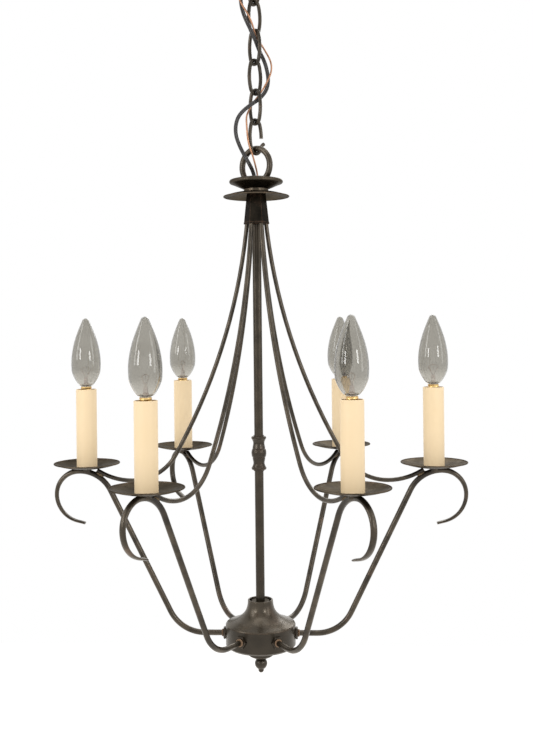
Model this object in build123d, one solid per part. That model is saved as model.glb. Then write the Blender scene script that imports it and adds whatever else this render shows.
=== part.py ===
"""Six-light candle chandelier hung on a chain. Millimetres, +Z up.

The origin is the centre of the ceiling canopy's face, so everything hangs below z = 0.
Arm 1 points along +X and the others follow about every 60 degrees, counterclockwise from above.
"""
from build123d import *
import math
import os

os.makedirs("parts", exist_ok=True)

# ---------------------------------------------------------------- driving dimensions
ARMS = 6
arm_angles = (0.0, 60.0, 123.0, 180.0, 239.4, 300.0)     # as drilled in the hub, from +X

# ceiling fitting
canopy_diameter = 127.0
canopy_depth = 26.0
canopy_sheet = 1.2
strap_end = 3.0               # beyond the screw slots
strap_width = 20.0
strap_sheet = 2.5
strap_face_gap = 1.0          # strap to ceiling
box_screw_spacing = 88.9
box_screw_slot = 12.0
box_screw_hole = 4.5
loop_neck_diameter = 16.0
loop_neck_length = 14.0
loop_wire = 6.0
loop_ring_radius = 13.0       # centreline
loop_bore = 9.2
nipple_diameter = 9.6
nipple_bore = 7.4
nut_thickness = 3.0
nut_across = 15.0
collar_ring_diameter = 26.0
collar_ring_height = 7.0

# chain
LINKS = 6
link_length = 40.3
link_width = 20.3
link_wire = 4.0
link_end_bend = 6.4           # centreline at the link's ends; its sides bow between them
link_clearance = 0.1
open_link_top = -0.9          # ends of the opened link's gap, from its middle
open_link_low = -6.6
open_link_lean = 3.6
weld_tilt = 45.0              # every second link stands this way, the others across it
ring_tilt = -35.0             # the way the hanging loop stands

# hanging loop and column
ring_radius = 18.75           # centreline
ring_wire = 6.5
ring_opening = 88.0           # angle left open at the bottom
disc_diameter = 58.0
disc_height = 16.1
disc_crown = 3.3
disc_rim = 4.6
disc_neck_diameter = 26.6
disc_neck_height = 2.4
disc_below_ring = 27.45       # ring centre to the disc's underside
stem_diameter = 9.5
stem_bore = 7.9
collar_height = 34.2
collar_top_width = 20.2       # across corners
collar_bottom_width = 27.6
collar_lip = 2.0
knuckle_drop = 282.0          # disc's underside to the knuckle's middle
knuckle_length = 38.4
knuckle_flange = 16.0
knuckle_waist = 12.1
knuckle_belly = 16.0

# dishes, candles and lamps
dish_diameter = 70.5
dish_depth = 6.2
dish_sheet = 1.0
dish_floor_diameter = 22.0
candle_inset = 8.3            # candle's axis to the top of its arm's crook
cover_diameter = 22.2
cover_wall = 1.1
cover_length = 85.0
post_diameter = 9.4
post_bore = 6.0
socket_diameter = 17.2
socket_length = 34.0
socket_below_top = 2.0
socket_floor = 7.0
shell_wall = 0.5
base_diameter = 11.8
base_length = 21.0
base_above_cover = 2.8
base_clearance = 0.08
bulb_neck_radius = 5.45
bulb_radius = 15.875
bulb_widest = 27.0            # above the candle cover
bulb_height = 77.2            # above the candle cover
bulb_glass = 0.7
lead_wire = 0.7
lead_spread = 1.2
coil_span = 11.0
coil_wire = 0.9

# arms
arm_diameter = 6.0
arm_bore = 3.8
arm_exit_drop = 476.0         # disc's underside to the arm where it leaves the hub
arm_crown_radius = 195.8      # stem to the top of the crook
arm_crown_rise = 175.0        # above the exit
arm_lean = 26.2               # from the vertical
arm_foot_bend = 41.2
arm_crown_bend = 37.6
hook_shoulder_bend = 25.3
hook_belly_bend = 30.2
hook_belly_turn = 75.0
hook_tail = 9.0
hook_tip_width = 7.8
hook_tip_thickness = 2.6

# stay rods
rod_diameter = 4.6
rod_top_radius = 8.3
rod_top_drop = 11.7           # disc's underside to the rod's top end
rod_top_lean = 3.95
rod_low_drop = 10.54          # the crook's top to the rod's lowest point
rod_steep_lean = 28.5
rod_straight = 10.9
rod_belly_bend = 55.4
rod_gap = 0.05
rod_lap_turn = 4.0

# hub
bell_inset = 0.2              # the cap's edge inside the hub's side
bell_mouth_diameter = 27.0
bell_height = 26.5
bell_sheet = 1.4
washer_diameter = 19.0
washer_thickness = 3.0
washer_below_mouth = 1.2
hub_diameter = 75.2
hub_height = 23.2
hub_sheet = 1.6
hub_floor_sag = 4.5
check_ring_diameter = 26.4
check_ring_height = 9.3
check_ring_edge = 5.6
tie_rod_diameter = 6.0
finial_ball = 13.4
finial_ball_drop = 5.6        # the finial's top to the ball's middle
finial_length = 15.6
finial_tip = 6.0
finial_neck = 8.6
locknut_across = 13.6
locknut_thickness = 2.4
bushing_diameter = 8.2
bushing_proud = 4.3
bushing_bore = 6.1

# wires
supply_cord_width = 3.4
ground_wire_diameter = 1.9
arm_lead_diameter = 2.9
fit = 0.02                    # between faces that touch in one body
slip = 0.05                   # round a tube in its hole

# ---------------------------------------------------------------- sizes and levels that follow
bell_diameter = hub_diameter - 2 * bell_inset
strap_length = box_screw_spacing + box_screw_slot + 2 * strap_end
candle_circle = arm_crown_radius - candle_inset
collar_ring_top = -(canopy_depth + slip)
loop_z = -(canopy_depth + collar_ring_height + loop_ring_radius + 2.4)
loop_inside = loop_z - loop_ring_radius + loop_wire / 2
link_inner = link_length - 2 * link_wire
link_pitch = link_inner - link_clearance
first_link_z = loop_inside + link_clearance - link_inner / 2
link_z = [first_link_z - n * link_pitch for n in range(LINKS)]
ring_z = link_z[-1] - link_inner / 2 + link_clearance - ring_radius + ring_wire / 2
neck_z = ring_z - disc_below_ring
collar_top_z = neck_z - dish_sheet - 2 * fit
collar_bottom_z = collar_top_z - collar_height
knuckle_z = neck_z - knuckle_drop
arm_exit_z = neck_z - arm_exit_drop
arm_crown_z = arm_exit_z + arm_crown_rise
dish_floor_z = arm_crown_z + arm_diameter / 2 + fit      # dish's underside
cover_bottom_z = dish_floor_z + dish_sheet + fit
cover_top_z = cover_bottom_z + cover_length
hub_top_z = arm_exit_z + 0.42 * hub_height
hub_bottom_z = hub_top_z - hub_height


LOW = (Align.CENTER, Align.CENTER, Align.MIN)


def write(solid, node):
    solid.label = node
    export_step(solid, f"parts/{node}.step")


def turned(*points):
    """A solid of revolution about Z from (radius, height) points of a closed outline."""
    outline = Polyline(*[(r, 0, z) for r, z in points], close=True)
    return revolve(make_face(outline), Axis.Z)


def pipe(path, diameter, bore=0.0):
    start = Plane(origin=path @ 0, z_dir=path % 0)
    body = sweep(start * Circle(diameter / 2), path=path)
    if bore:
        body -= sweep(start * Circle(bore / 2), path=path)
    return body


def tube(diameter, bore, bottom, top):
    ring = Circle(diameter / 2)
    if bore:
        ring -= Circle(bore / 2)
    return Pos(0, 0, bottom) * extrude(ring, amount=top - bottom)


def hexagon(across, bore, bottom, top):
    shape = RegularPolygon(across / 2, 6)
    if bore:
        shape -= Circle(bore / 2)
    return Pos(0, 0, bottom) * extrude(shape, amount=top - bottom)


def around(solid, n):
    return Rot(0, 0, arm_angles[n]) * solid


def at_candle(solid):
    return Pos(candle_circle, 0, 0) * solid


# ---------------------------------------------------------------- ceiling fitting
def canopy():
    r, t, d = canopy_diameter / 2, canopy_sheet, canopy_depth
    hole = loop_neck_diameter / 2 + slip
    # (share of the radius, share of the depth) down the stepped dome
    form = [(1.0, 0.0), (1.0, 0.14), (0.95, 0.24), (0.86, 0.30), (0.83, 0.42), (0.72, 0.62), (0.52, 0.84), (0.33, 1.0)]
    outer = [(share * r, -depth * d) for share, depth in form]
    inner = [(x - t, min(0.0, z + t)) for x, z in outer[1:]]
    inner[0] = (r - t, -0.14 * d)
    return turned(*outer, (hole, -d), (hole, -d + t), *reversed(inner), (r - t, 0))


def strap():
    sheet = SlotOverall(strap_length, strap_width) - Circle(nipple_diameter / 2 + slip)
    for side in (-1, 1):
        sheet -= Pos(side * box_screw_spacing / 2, 0) * SlotOverall(box_screw_slot, box_screw_hole)
    return Pos(0, 0, -strap_face_gap - strap_sheet) * extrude(sheet, amount=strap_sheet)


def canopy_nuts():
    """The locknut under the strap and the one that locks the loop's neck."""
    under_strap = -strap_face_gap - strap_sheet - fit
    on_neck = loop_neck_top + fit
    bore = nipple_diameter + 2 * slip
    return [
        hexagon(nut_across, bore, under_strap - nut_thickness, under_strap),
        hexagon(nut_across, bore, on_neck, on_neck + nut_thickness),
    ]


def canopy_loop():
    """Cast ring under a threaded hollow neck, through which the cord goes up."""
    ring = Pos(0, 0, loop_z) * Rot(0, 0, weld_tilt) * Rot(90, 0, 0) * Torus(loop_ring_radius, loop_wire / 2)
    neck = tube(loop_neck_diameter, 0, loop_neck_bottom, loop_neck_top)
    body = ring + neck
    body -= tube(loop_bore, 0, loop_z + loop_ring_radius - loop_wire, loop_neck_top + 1)
    return body - tube(nipple_diameter + 2 * slip, 0, nipple_bottom, loop_neck_top + 1)


def collar_ring():
    shape = Circle(collar_ring_diameter / 2) - Circle(loop_neck_diameter / 2 + slip)
    for n in range(24):
        shape -= Rot(0, 0, 15 * n) * Pos(collar_ring_diameter / 2, 0) * Circle(0.6)
    return Pos(0, 0, collar_ring_top - collar_ring_height) * extrude(shape, amount=collar_ring_height)


# ---------------------------------------------------------------- chain
def link(n):
    """Oval link of round wire, standing on edge. The last one has been opened."""
    half_long, half_wide = (link_length - link_wire) / 2, (link_width - link_wire) / 2
    end = half_long - link_end_bend
    side_bend = (end**2 + half_wide**2 - link_end_bend**2) / (2 * (half_wide - link_end_bend))
    reach = side_bend - link_end_bend
    x = link_end_bend * (side_bend - half_wide) / reach
    z = end + link_end_bend * end / reach
    left = ThreePointArc((-x, -z), (-half_wide, 0), (-x, z))
    top = ThreePointArc((-x, z), (0, half_long), (x, z))
    bottom = ThreePointArc((-x, -z), (0, -half_long), (x, -z))
    if n == LINKS - 1:
        stop = side_bend - half_wide - math.sqrt(side_bend**2 - open_link_top**2)
        right = TangentArc((x, z), (-stop, open_link_top), tangent=top % 1)
        lifted = TangentArc((x, -z), (half_wide + open_link_lean, open_link_low), tangent=bottom % 1)
        body = pipe(_on_edge(Wire([left, top, right])), link_wire)
        body += pipe(_on_edge(Wire([bottom, lifted])), link_wire)
    else:
        right = ThreePointArc((x, z), (half_wide, 0), (x, -z))
        body = pipe(_on_edge(Wire([left, top, right, bottom])), link_wire)
    turn = weld_tilt if n % 2 else weld_tilt - 90
    return Pos(0, 0, link_z[n]) * Rot(0, 0, turn) * body


def _on_edge(wire):
    return Rot(90, 0, 0) * wire


# ---------------------------------------------------------------- column
def hanging_loop():
    """C-shaped ring whose two ends stand in the disc."""
    half = (360 - ring_opening) / 2
    arc = CenterArc((0, 0), ring_radius, 90 - half, 2 * half)
    body = pipe(_on_edge(Wire([arc])), ring_wire)
    return Pos(0, 0, ring_z) * Rot(0, 0, ring_tilt) * body


def upper_disc():
    r, neck = disc_diameter / 2, disc_neck_diameter / 2
    top = neck_z + disc_height
    rim_top = top - disc_crown
    rim_low = rim_top - disc_rim
    outline = (
        Polyline((0, 0, neck_z), (neck, 0, neck_z), (neck, 0, neck_z + disc_neck_height))
        + Line((neck, 0, neck_z + disc_neck_height), (r - disc_rim / 2, 0, rim_low))
        + ThreePointArc((r - disc_rim / 2, 0, rim_low), (r, 0, rim_low + disc_rim / 2), (r - disc_rim / 2, 0, rim_top))
        + ThreePointArc((r - disc_rim / 2, 0, rim_top), (r / 2, 0, top - 0.9), (0, 0, top))
        + Line((0, 0, top), (0, 0, neck_z))
    )
    body = revolve(make_face(outline), Axis.Z)
    body -= tube(stem_diameter + 2 * slip, 0, neck_z - 1, stem_top_z + slip)
    body -= tube(stem_bore, 0, neck_z, top + 1)
    mouth = 1.9
    body -= Pos(0, 0, top - 3.8) * Cone(stem_bore / 2, stem_bore / 2 + mouth, 4.0, align=LOW)
    half = (360 - ring_opening) / 2
    seat = CenterArc((0, 0), ring_radius, 90 - half, 2 * half)
    socket = pipe(_on_edge(Wire([seat])), ring_wire + 2 * slip)
    return body - Pos(0, 0, ring_z) * Rot(0, 0, ring_tilt) * socket


def dish(hole):
    """Shallow spun dish, its floor's underside at z = 0."""
    r, floor, t, d = dish_diameter / 2, dish_floor_diameter / 2, dish_sheet, dish_depth
    middle = ((floor + r) / 2, 0, 0.30 * (d - t))
    outline = (
        Line((hole, 0, 0), (floor, 0, 0))
        + ThreePointArc((floor, 0, 0), middle, (r, 0, d - t))
        + ThreePointArc((r, 0, d - t), (r + t / 2, 0, d - t / 2), (r, 0, d))
        + ThreePointArc((r, 0, d), (middle[0], 0, middle[2] + t), (floor, 0, t))
        + Polyline((floor, 0, t), (hole, 0, t), (hole, 0, 0))
    )
    return revolve(make_face(outline), Axis.Z)


def lower_dish():
    return Pos(0, 0, neck_z - fit) * Rot(180, 0, 0) * dish(stem_diameter / 2 + slip)


def hex_collar():
    """Tapered hexagonal collar that holds the tops of the stay rods round the stem."""
    lip_z = collar_bottom_z + collar_lip
    top = Plane.XY.offset(collar_top_z) * RegularPolygon(collar_top_width / 2, 6)
    foot = Plane.XY.offset(lip_z) * RegularPolygon(collar_bottom_width / 2 - 0.3, 6)
    body = loft([foot, top])
    body += hexagon(collar_bottom_width, 0, collar_bottom_z, lip_z)
    body -= tube(stem_diameter + 2 * slip, 0, collar_bottom_z - 1, collar_top_z + 1)
    for n in range(ARMS):
        body -= around(pipe(rod_path(), rod_diameter + 2 * slip), n)
    return body


def stem(bottom, top):
    return tube(stem_diameter, stem_bore, bottom, top)


def knuckle():
    """Turned coupling with two flanges and a belly between two waists."""
    flange, waist, belly = knuckle_flange / 2, knuckle_waist / 2, knuckle_belly / 2
    end = stem_diameter / 2 + 0.95
    top = knuckle_length / 2
    # (radius, height above the middle) of the upper half
    upper = [
        (belly, 0), (belly, 0.9), (belly - 0.25, 2.8), (belly - 0.8, 4.2), (waist + 0.65, 4.6),
        (waist + 0.65, 5.0), (waist + 0.8, 5.3), (waist + 0.45, 7.4), (waist, 9.8), (waist, 11.6),
        (waist + 0.35, 12.8), (flange - 0.6, 15.0), (flange, 15.7), (flange, 17.1), (flange - 0.5, 17.8),
        (end, 18.1), (end, top),
    ]
    lower = [(r, -z) for r, z in reversed(upper[1:])]
    bore = stem_diameter / 2 + slip
    body = Pos(0, 0, knuckle_z) * turned(*upper, (bore, top), (bore, -top), *lower)
    return body + tube(stem_diameter + 1, stem_bore, knuckle_z - 1.5, knuckle_z + 1.5)


# ---------------------------------------------------------------- arms and rods
def arm_points():
    """The arm's centreline in the XZ plane, from inside the hub to the top of the crook."""
    lean = math.radians(arm_lean)
    crown = (arm_crown_radius, arm_crown_z)
    bend_top = (
        crown[0] - arm_crown_bend * math.cos(lean),
        crown[1] - arm_crown_bend * (1 - math.sin(lean)),
    )
    foot_top_z = arm_exit_z + arm_foot_bend * (1 - math.sin(lean))
    foot_top = (bend_top[0] - (bend_top[1] - foot_top_z) * math.tan(lean), foot_top_z)
    foot_start = (foot_top[0] - arm_foot_bend * math.cos(lean), arm_exit_z)
    return foot_start, foot_top, bend_top, crown


def arm_path(start_radius):
    foot_start, foot_top, bend_top, crown = arm_points()
    run = Line((start_radius, 0, arm_exit_z), _xz(foot_start))
    foot = TangentArc(_xz(foot_start), _xz(foot_top), tangent=(1, 0, 0))
    straight = Line(_xz(foot_top), _xz(bend_top))
    bend = TangentArc(_xz(bend_top), _xz(crown), tangent=straight % 1)
    return Wire([run, foot, straight, bend])


def _xz(point):
    return (point[0], 0, point[1])


def hook_point(share):
    """(place, direction) along the hook: 0 at the crown, 1 where the tail begins."""
    quarter, belly = math.radians(90), math.radians(hook_belly_turn)
    long_1, long_2 = hook_shoulder_bend * quarter, hook_belly_bend * belly
    at = share * (long_1 + long_2)
    r, z = arm_crown_radius, arm_crown_z - hook_shoulder_bend
    if at <= long_1:
        turn, bend = at / hook_shoulder_bend, hook_shoulder_bend
    else:
        turn, bend = quarter + (at - long_1) / hook_belly_bend, hook_belly_bend
        r -= hook_belly_bend - hook_shoulder_bend
    place = (r + bend * math.sin(turn), 0, z + bend * math.cos(turn))
    return place, (math.cos(turn), 0, -math.sin(turn))


def hook():
    """The crook's forged end: it widens and thins from the round tube to a flat tip."""
    stations = 9
    sections = []
    tip_place, tip_way = hook_point(1.0)
    for n in range(stations + 1):
        share = n / stations
        if n < stations:
            place, way = hook_point(share * stations / (stations - 1))
        else:
            place = tuple(p + hook_tail * w for p, w in zip(tip_place, tip_way))
            way = tip_way
        wide = arm_diameter + (hook_tip_width - arm_diameter) * share
        thick = arm_diameter + (hook_tip_thickness - arm_diameter) * share
        sections.append(Plane(origin=place, x_dir=(0, 1, 0), z_dir=way) * Ellipse(wide / 2, thick / 2))
    return loft(sections)


def arm():
    """Bent tube with its forged hook and the wire hole under the candle."""
    body = pipe(arm_path(arm_start), arm_diameter, arm_bore) + hook()
    wire_hole = at_candle(tube(arm_bore, 0, dish_floor_z - arm_diameter, dish_floor_z))
    return body - wire_hole


def rod_levels():
    """Angles and centres of the stay rod's bends, in the XZ plane."""
    top_lean, steep = math.radians(rod_top_lean), math.radians(rod_steep_lean)
    start = (rod_top_radius, neck_z - rod_top_drop)
    below = rod_straight * math.cos(steep) + rod_belly_bend * (1 - math.sin(steep))
    sweep_end_z = arm_crown_z - rod_low_drop + below
    sweep_bend = (start[1] - sweep_end_z) / (math.sin(steep) - math.sin(top_lean))
    sweep_end = (start[0] + sweep_bend * (math.cos(top_lean) - math.cos(steep)), sweep_end_z)
    line_end = (
        sweep_end[0] + rod_straight * math.sin(steep),
        sweep_end[1] - rod_straight * math.cos(steep),
    )
    low = (
        line_end[0] + rod_belly_bend * math.cos(steep),
        line_end[1] - rod_belly_bend * (1 - math.sin(steep)),
    )
    return start, sweep_end, line_end, low


def rod_path():
    """Down from the collar, round the belly and up to lie along the arm's crook."""
    start, sweep_end, line_end, low = rod_levels()
    crook = (arm_crown_radius, arm_crown_z - arm_crown_bend)
    lap = arm_crown_bend + (arm_diameter + rod_diameter) / 2 + rod_gap
    across, up = crook[0] - low[0], low[1] - crook[1]
    rise_bend = (across**2 + up**2 - lap**2) / (2 * (lap - up))
    meet = math.atan2(across, rise_bend + up)
    touch = (low[0] + rise_bend * math.sin(meet), low[1] + rise_bend * (1 - math.cos(meet)))
    last = meet - math.radians(rod_lap_turn)
    end = (crook[0] - lap * math.sin(last), crook[1] + lap * math.cos(last))
    lean = math.radians(rod_top_lean)
    sweep_arc = TangentArc(_xz(start), _xz(sweep_end), tangent=(math.sin(lean), 0, -math.cos(lean)))
    straight = Line(_xz(sweep_end), _xz(line_end))
    belly = TangentArc(_xz(line_end), _xz(low), tangent=straight % 1)
    rise = TangentArc(_xz(low), _xz(touch), tangent=(1, 0, 0))
    lapped = TangentArc(_xz(touch), _xz(end), tangent=rise % 1)
    return Wire([sweep_arc, straight, belly, rise, lapped])


# ---------------------------------------------------------------- hub
def bell_cap():
    """Flared cap: a lip round the stem, then one hollow curve out to the hub's edge."""
    r, mouth, t = bell_diameter / 2, bell_mouth_diameter / 2, bell_sheet
    top = hub_top_z + bell_height
    rim = hub_top_z + fit
    # (share of the way out, share of the way down) along the outside
    form = [
        (0.0, 0.05), (0.012, 0.17), (0.038, 0.293), (0.085, 0.415), (0.138, 0.497), (0.21, 0.58),
        (0.31, 0.662), (0.44, 0.748), (0.60, 0.825), (0.76, 0.885), (0.90, 0.93),
    ]
    across, down = r - mouth, bell_height
    outer = [(mouth + u * across, 0, top - v * down) for u, v in form]
    inner = [(x - 0.9 * t * (1.15 - u), 0, z - t * (0.25 + 0.75 * u)) for (x, _, z), (u, _) in zip(outer, form)]
    last, first = outer[-1], inner[-1]
    edge = (r - 0.5, 0, last[2] - 0.75)
    outline = Spline(*outer) + Polyline(last, edge, (r, 0, edge[2] - 0.8), (r, 0, rim), (r - t, 0, rim), first)
    outline += Spline(*reversed(inner))
    outline += ThreePointArc(inner[0], (mouth - 0.5 * t, 0, top), outer[0])
    return revolve(make_face(outline), Axis.Z)


def stem_washer():
    """The nut inside the bell's mouth that clamps the stem to the tie rod's bracket."""
    top = hub_top_z + bell_height - washer_below_mouth
    return tube(washer_diameter, stem_diameter + 2 * slip, top - washer_thickness, top)


def hub_body():
    """Round pan with six arm holes and a sagging floor."""
    r, t = hub_diameter / 2, hub_sheet
    floor_hole = tie_rod_diameter / 2 + slip
    sag_z = hub_bottom_z - hub_floor_sag
    flat = check_ring_diameter / 2
    corner = 2.0
    body = turned(
        (r, hub_top_z), (r, hub_bottom_z + corner), (r - corner, hub_bottom_z), (flat, sag_z), (floor_hole, sag_z),
        (floor_hole, sag_z + t), (flat, sag_z + t), (r - corner - t / 2, hub_bottom_z + t),
        (r - t, hub_bottom_z + corner + t / 2), (r - t, hub_top_z - t), (bell_diameter / 2 - 8, hub_top_z - t),
        (bell_diameter / 2 - 8, hub_top_z),
    )
    hole = Pos(r, 0, arm_exit_z) * Rot(0, 90, 0) * Cylinder(bushing_diameter / 2 + slip, 4 * t)
    for n in range(ARMS):
        body -= around(hole, n)
    return body


def hub_spider():
    """Bar across the pan that joins the stem's foot to the tie rod."""
    low = hub_top_z - hub_sheet - 3.0 - fit
    inside = tube(hub_diameter - 2 * hub_sheet - 0.8, 0, low, low + 3.0)
    bar = Rot(0, 0, 90) * Pos(0, 0, low + 1.5) * Box(hub_diameter, 14.0, 3.0) & inside
    plug = tube(stem_bore + 5.0, 0, low - 6.0, low + 3.0)
    body = bar + plug + tube(stem_diameter + 5, 0, low, stem_foot_z + 6.0)
    body -= tube(stem_diameter + 2 * slip, 0, stem_foot_z, stem_foot_z + 10)
    for angle in (60, 120, 240, 300):
        wire_way = Rot(0, 0, angle) * Pos(6.0, 0, 0)
        body -= wire_way * tube(2.6, 0, low - 10, low)
    side_window = Pos(0, 0, stem_foot_z + 0.1) * Box(40, 5.0, 4.0, align=LOW)
    body -= side_window
    return body - tube(tie_rod_diameter + 2 * slip, 0, low - 7.0, stem_foot_z - 2.0)


def tie_rod():
    return tube(tie_rod_diameter, 0, finial_top_z - 6.0, stem_foot_z - 2.0 - fit)


def check_ring():
    """Small domed foot between the pan's floor and the finial."""
    r, h, edge = check_ring_diameter / 2, check_ring_height, check_ring_edge
    top = hub_bottom_z - hub_floor_sag - fit
    bore = tie_rod_diameter / 2 + slip
    outline = (
        Line((bore, 0, top), (r, 0, top))
        + Line((r, 0, top), (r, 0, top - edge))
        + ThreePointArc((r, 0, top - edge), (0.70 * r, 0, top - 0.86 * h), (finial_neck / 2, 0, top - h))
        + Polyline((finial_neck / 2, 0, top - h), (bore, 0, top - h), (bore, 0, top))
    )
    return revolve(make_face(outline), Axis.Z)


def finial():
    """Ball and button that screws onto the tie rod."""
    top = finial_top_z
    ball_z = top - finial_ball_drop
    button_z = top - finial_length + finial_tip / 2
    body = tube(finial_neck, 0, ball_z, top) + Pos(0, 0, ball_z) * Sphere(finial_ball / 2)
    body += tube(0.7 * finial_tip, 0, button_z, ball_z) + Pos(0, 0, button_z) * Sphere(finial_tip / 2)
    body -= tube(finial_ball, 0, top, top + finial_ball)
    return body - tube(tie_rod_diameter + 2 * slip, 0, top - 6.5, top + 1)


def sideways(solid, radius):
    """Turns a solid made along Z so that its foot is on the hub's side, pointing outwards."""
    return Pos(radius, 0, arm_exit_z) * Rot(0, 90, 0) * solid


def locknut():
    face = hub_diameter / 2 + fit
    return sideways(hexagon(locknut_across, bushing_diameter + 2 * slip, 0, locknut_thickness), face)


def bushing():
    """Brass sleeve that carries the arm through the pan's side, with its inside locknut."""
    inside = 5.0
    sleeve = tube(bushing_diameter, bushing_bore, -inside, bushing_proud)
    return sideways(sleeve, hub_diameter / 2)


# ---------------------------------------------------------------- candles
def dish_on_arm():
    return at_candle(Pos(0, 0, dish_floor_z) * dish(post_diameter / 2 + slip))


def candle_cover():
    bore = cover_diameter - 2 * cover_wall
    body = tube(cover_diameter, bore, cover_bottom_z, cover_top_z)
    rim = body.edges().filter_by(GeomType.CIRCLE).group_by(Axis.Z)[-1]
    return at_candle(fillet(rim, 0.45))


def socket_post():
    """Threaded tube that stands on the arm and carries the socket; its foot is saddled."""
    top = cover_top_z - socket_below_top - socket_length + socket_floor - 1.5 - fit
    body = at_candle(tube(post_diameter, post_bore, arm_crown_z - 1.5, top))
    return body - pipe(arm_path(arm_start), arm_diameter + 2 * fit)


def lamp_socket():
    """Phenolic body with a brass screw shell lining its mouth and a contact on its floor."""
    top = cover_top_z - socket_below_top
    bottom = top - socket_length
    shell_bore = base_diameter / 2 + base_clearance
    shell = shell_bore + shell_wall
    floor = bottom + socket_floor
    body = turned(
        (socket_diameter / 2, bottom), (socket_diameter / 2, top - 0.6), (socket_diameter / 2 - 0.6, top),
        (shell + fit, top), (shell + fit, floor), (post_bore / 2, floor), (post_bore / 2, floor - 1.5),
        (post_diameter / 2 + slip, floor - 1.5), (post_diameter / 2 + slip, bottom),
    )
    lining = tube(2 * shell, 2 * shell_bore, floor + 2.0, top - 0.5)
    contact = tube(6.4, 0, floor + fit, base_bottom_z - 0.2)
    return [at_candle(body), at_candle(lining), at_candle(contact)]


def bulb_base():
    """Thin screw shell with its end contact."""
    r = base_diameter / 2
    top = cover_top_z + base_above_cover
    wall = 0.4
    shell = turned(
        (r, top), (r, base_bottom_z + 4.5), (r - 2.2, base_bottom_z + 2.0), (2.4, base_bottom_z + 1.2),
        (2.2, base_bottom_z), (0, base_bottom_z), (0, base_bottom_z + 2.4), (r - 2.6, base_bottom_z + 2.8),
        (r - wall, base_bottom_z + 4.8), (r - wall, top),
    )
    return at_candle(shell)


def bulb_shell(inset):
    """The torpedo-shaped glass as a solid, drawn in by the inset."""
    # share of the largest radius at each share of the height over the cover
    form = [
        (0.48, 0.057), (0.655, 0.104), (0.79, 0.152), (0.895, 0.20), (0.97, 0.25), (1.0, 0.34), (0.989, 0.433),
        (0.93, 0.532), (0.832, 0.632), (0.71, 0.72), (0.542, 0.817), (0.352, 0.912), (0.246, 0.961), (0.155, 0.987),
    ]
    neck = bulb_neck_radius - inset
    foot = cover_top_z + 0.6
    start = cover_top_z + base_above_cover + 0.2
    points = [(neck, 0, start)]
    for share, height in form:
        points.append((share * bulb_radius - inset, 0, cover_top_z + height * bulb_height))
    points.append((0, 0, cover_top_z + bulb_height - inset))
    side = Spline(*points)
    outline = Line((neck, 0, foot), points[0]) + side + Polyline(points[-1], (0, 0, foot), (neck, 0, foot))
    return revolve(make_face(outline), Axis.Z)


def bulb():
    """Thin glass with the press that carries the filament."""
    inside = bulb_shell(bulb_glass)
    inside -= tube(2 * bulb_radius, 0, cover_top_z, cover_top_z + 0.6 + bulb_glass)
    press_top = cover_top_z + 13.0
    low = cover_top_z + 0.6 + bulb_glass / 2
    press = turned((0, low), (4.2, low), (2.6, cover_top_z + 8.0), (2.1, press_top), (0, press_top))
    glass = bulb_shell(0) - inside + press
    for side in (-1, 1):
        glass -= Pos(side * lead_spread, 0) * tube(lead_wire + 2 * fit, 0, cover_top_z, press_top + 1)
    return at_candle(glass)


def filament():
    """Two leads out of the press, with the coil hung between them."""
    top = cover_top_z + 21.5
    leads = []
    for side in (-1, 1):
        foot = (side * lead_spread, 0, cover_top_z - 4.0)
        knee = (side * lead_spread, 0, cover_top_z + 14.0)
        tip = (side * coil_span / 2, 0, top)
        leads.append(pipe(FilletPolyline(foot, knee, tip, radius=6.0), lead_wire))
    coil = CenterArc((0, 0), coil_span * 0.6, 213, 114)
    arc = _on_edge(Wire([coil]))
    lift = Pos(0, 0, top - (arc @ 0).Z)
    coil = lift * pipe(arc, coil_wire)
    return at_candle(leads[0] + leads[1] + coil)


# ---------------------------------------------------------------- wires
# Centre of the two-wire cord, woven down through the chain: from the nipple in the ceiling
# fitting to the stem's top.
SUPPLY_ROUTE = [
    (-1.3, 0.2, -6.0), (-1.4, 0.0, -18.0), (-1.6, -0.9, -30.1), (-2.4, 2.2, -41.0), (-5.4, 3.2, -49.7),
    (-11.5, 3.3, -60.5), (-14.2, -0.9, -72.0), (-14.4, -5.0, -84.0), (-13.6, -8.5, -96.0),
    (-10.2, -10.6, -108.5), (-4.3, -9.9, -121.0), (0.8, -4.4, -131.5), (4.8, 0.4, -142.5),
    (10.4, 2.6, -153.5), (13.4, 2.8, -165.0), (14.5, 2.0, -175.4), (12.1, 2.2, -185.5),
    (4.9, -1.0, -194.8), (-3.1, -3.5, -200.4), (-11.6, -5.0, -206.8), (-18.2, -7.0, -214.5),
    (-21.2, -8.0, -225.0), (-20.6, -8.8, -236.0), (-16.6, -9.0, -247.0), (-12.0, -8.0, -256.0),
    (-6.6, -5.2, -265.5), (-2.2, -0.8, -274.8), (-1.5, 0.0, -284.5), (-1.5, 0.0, -296.0),
]
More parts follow.
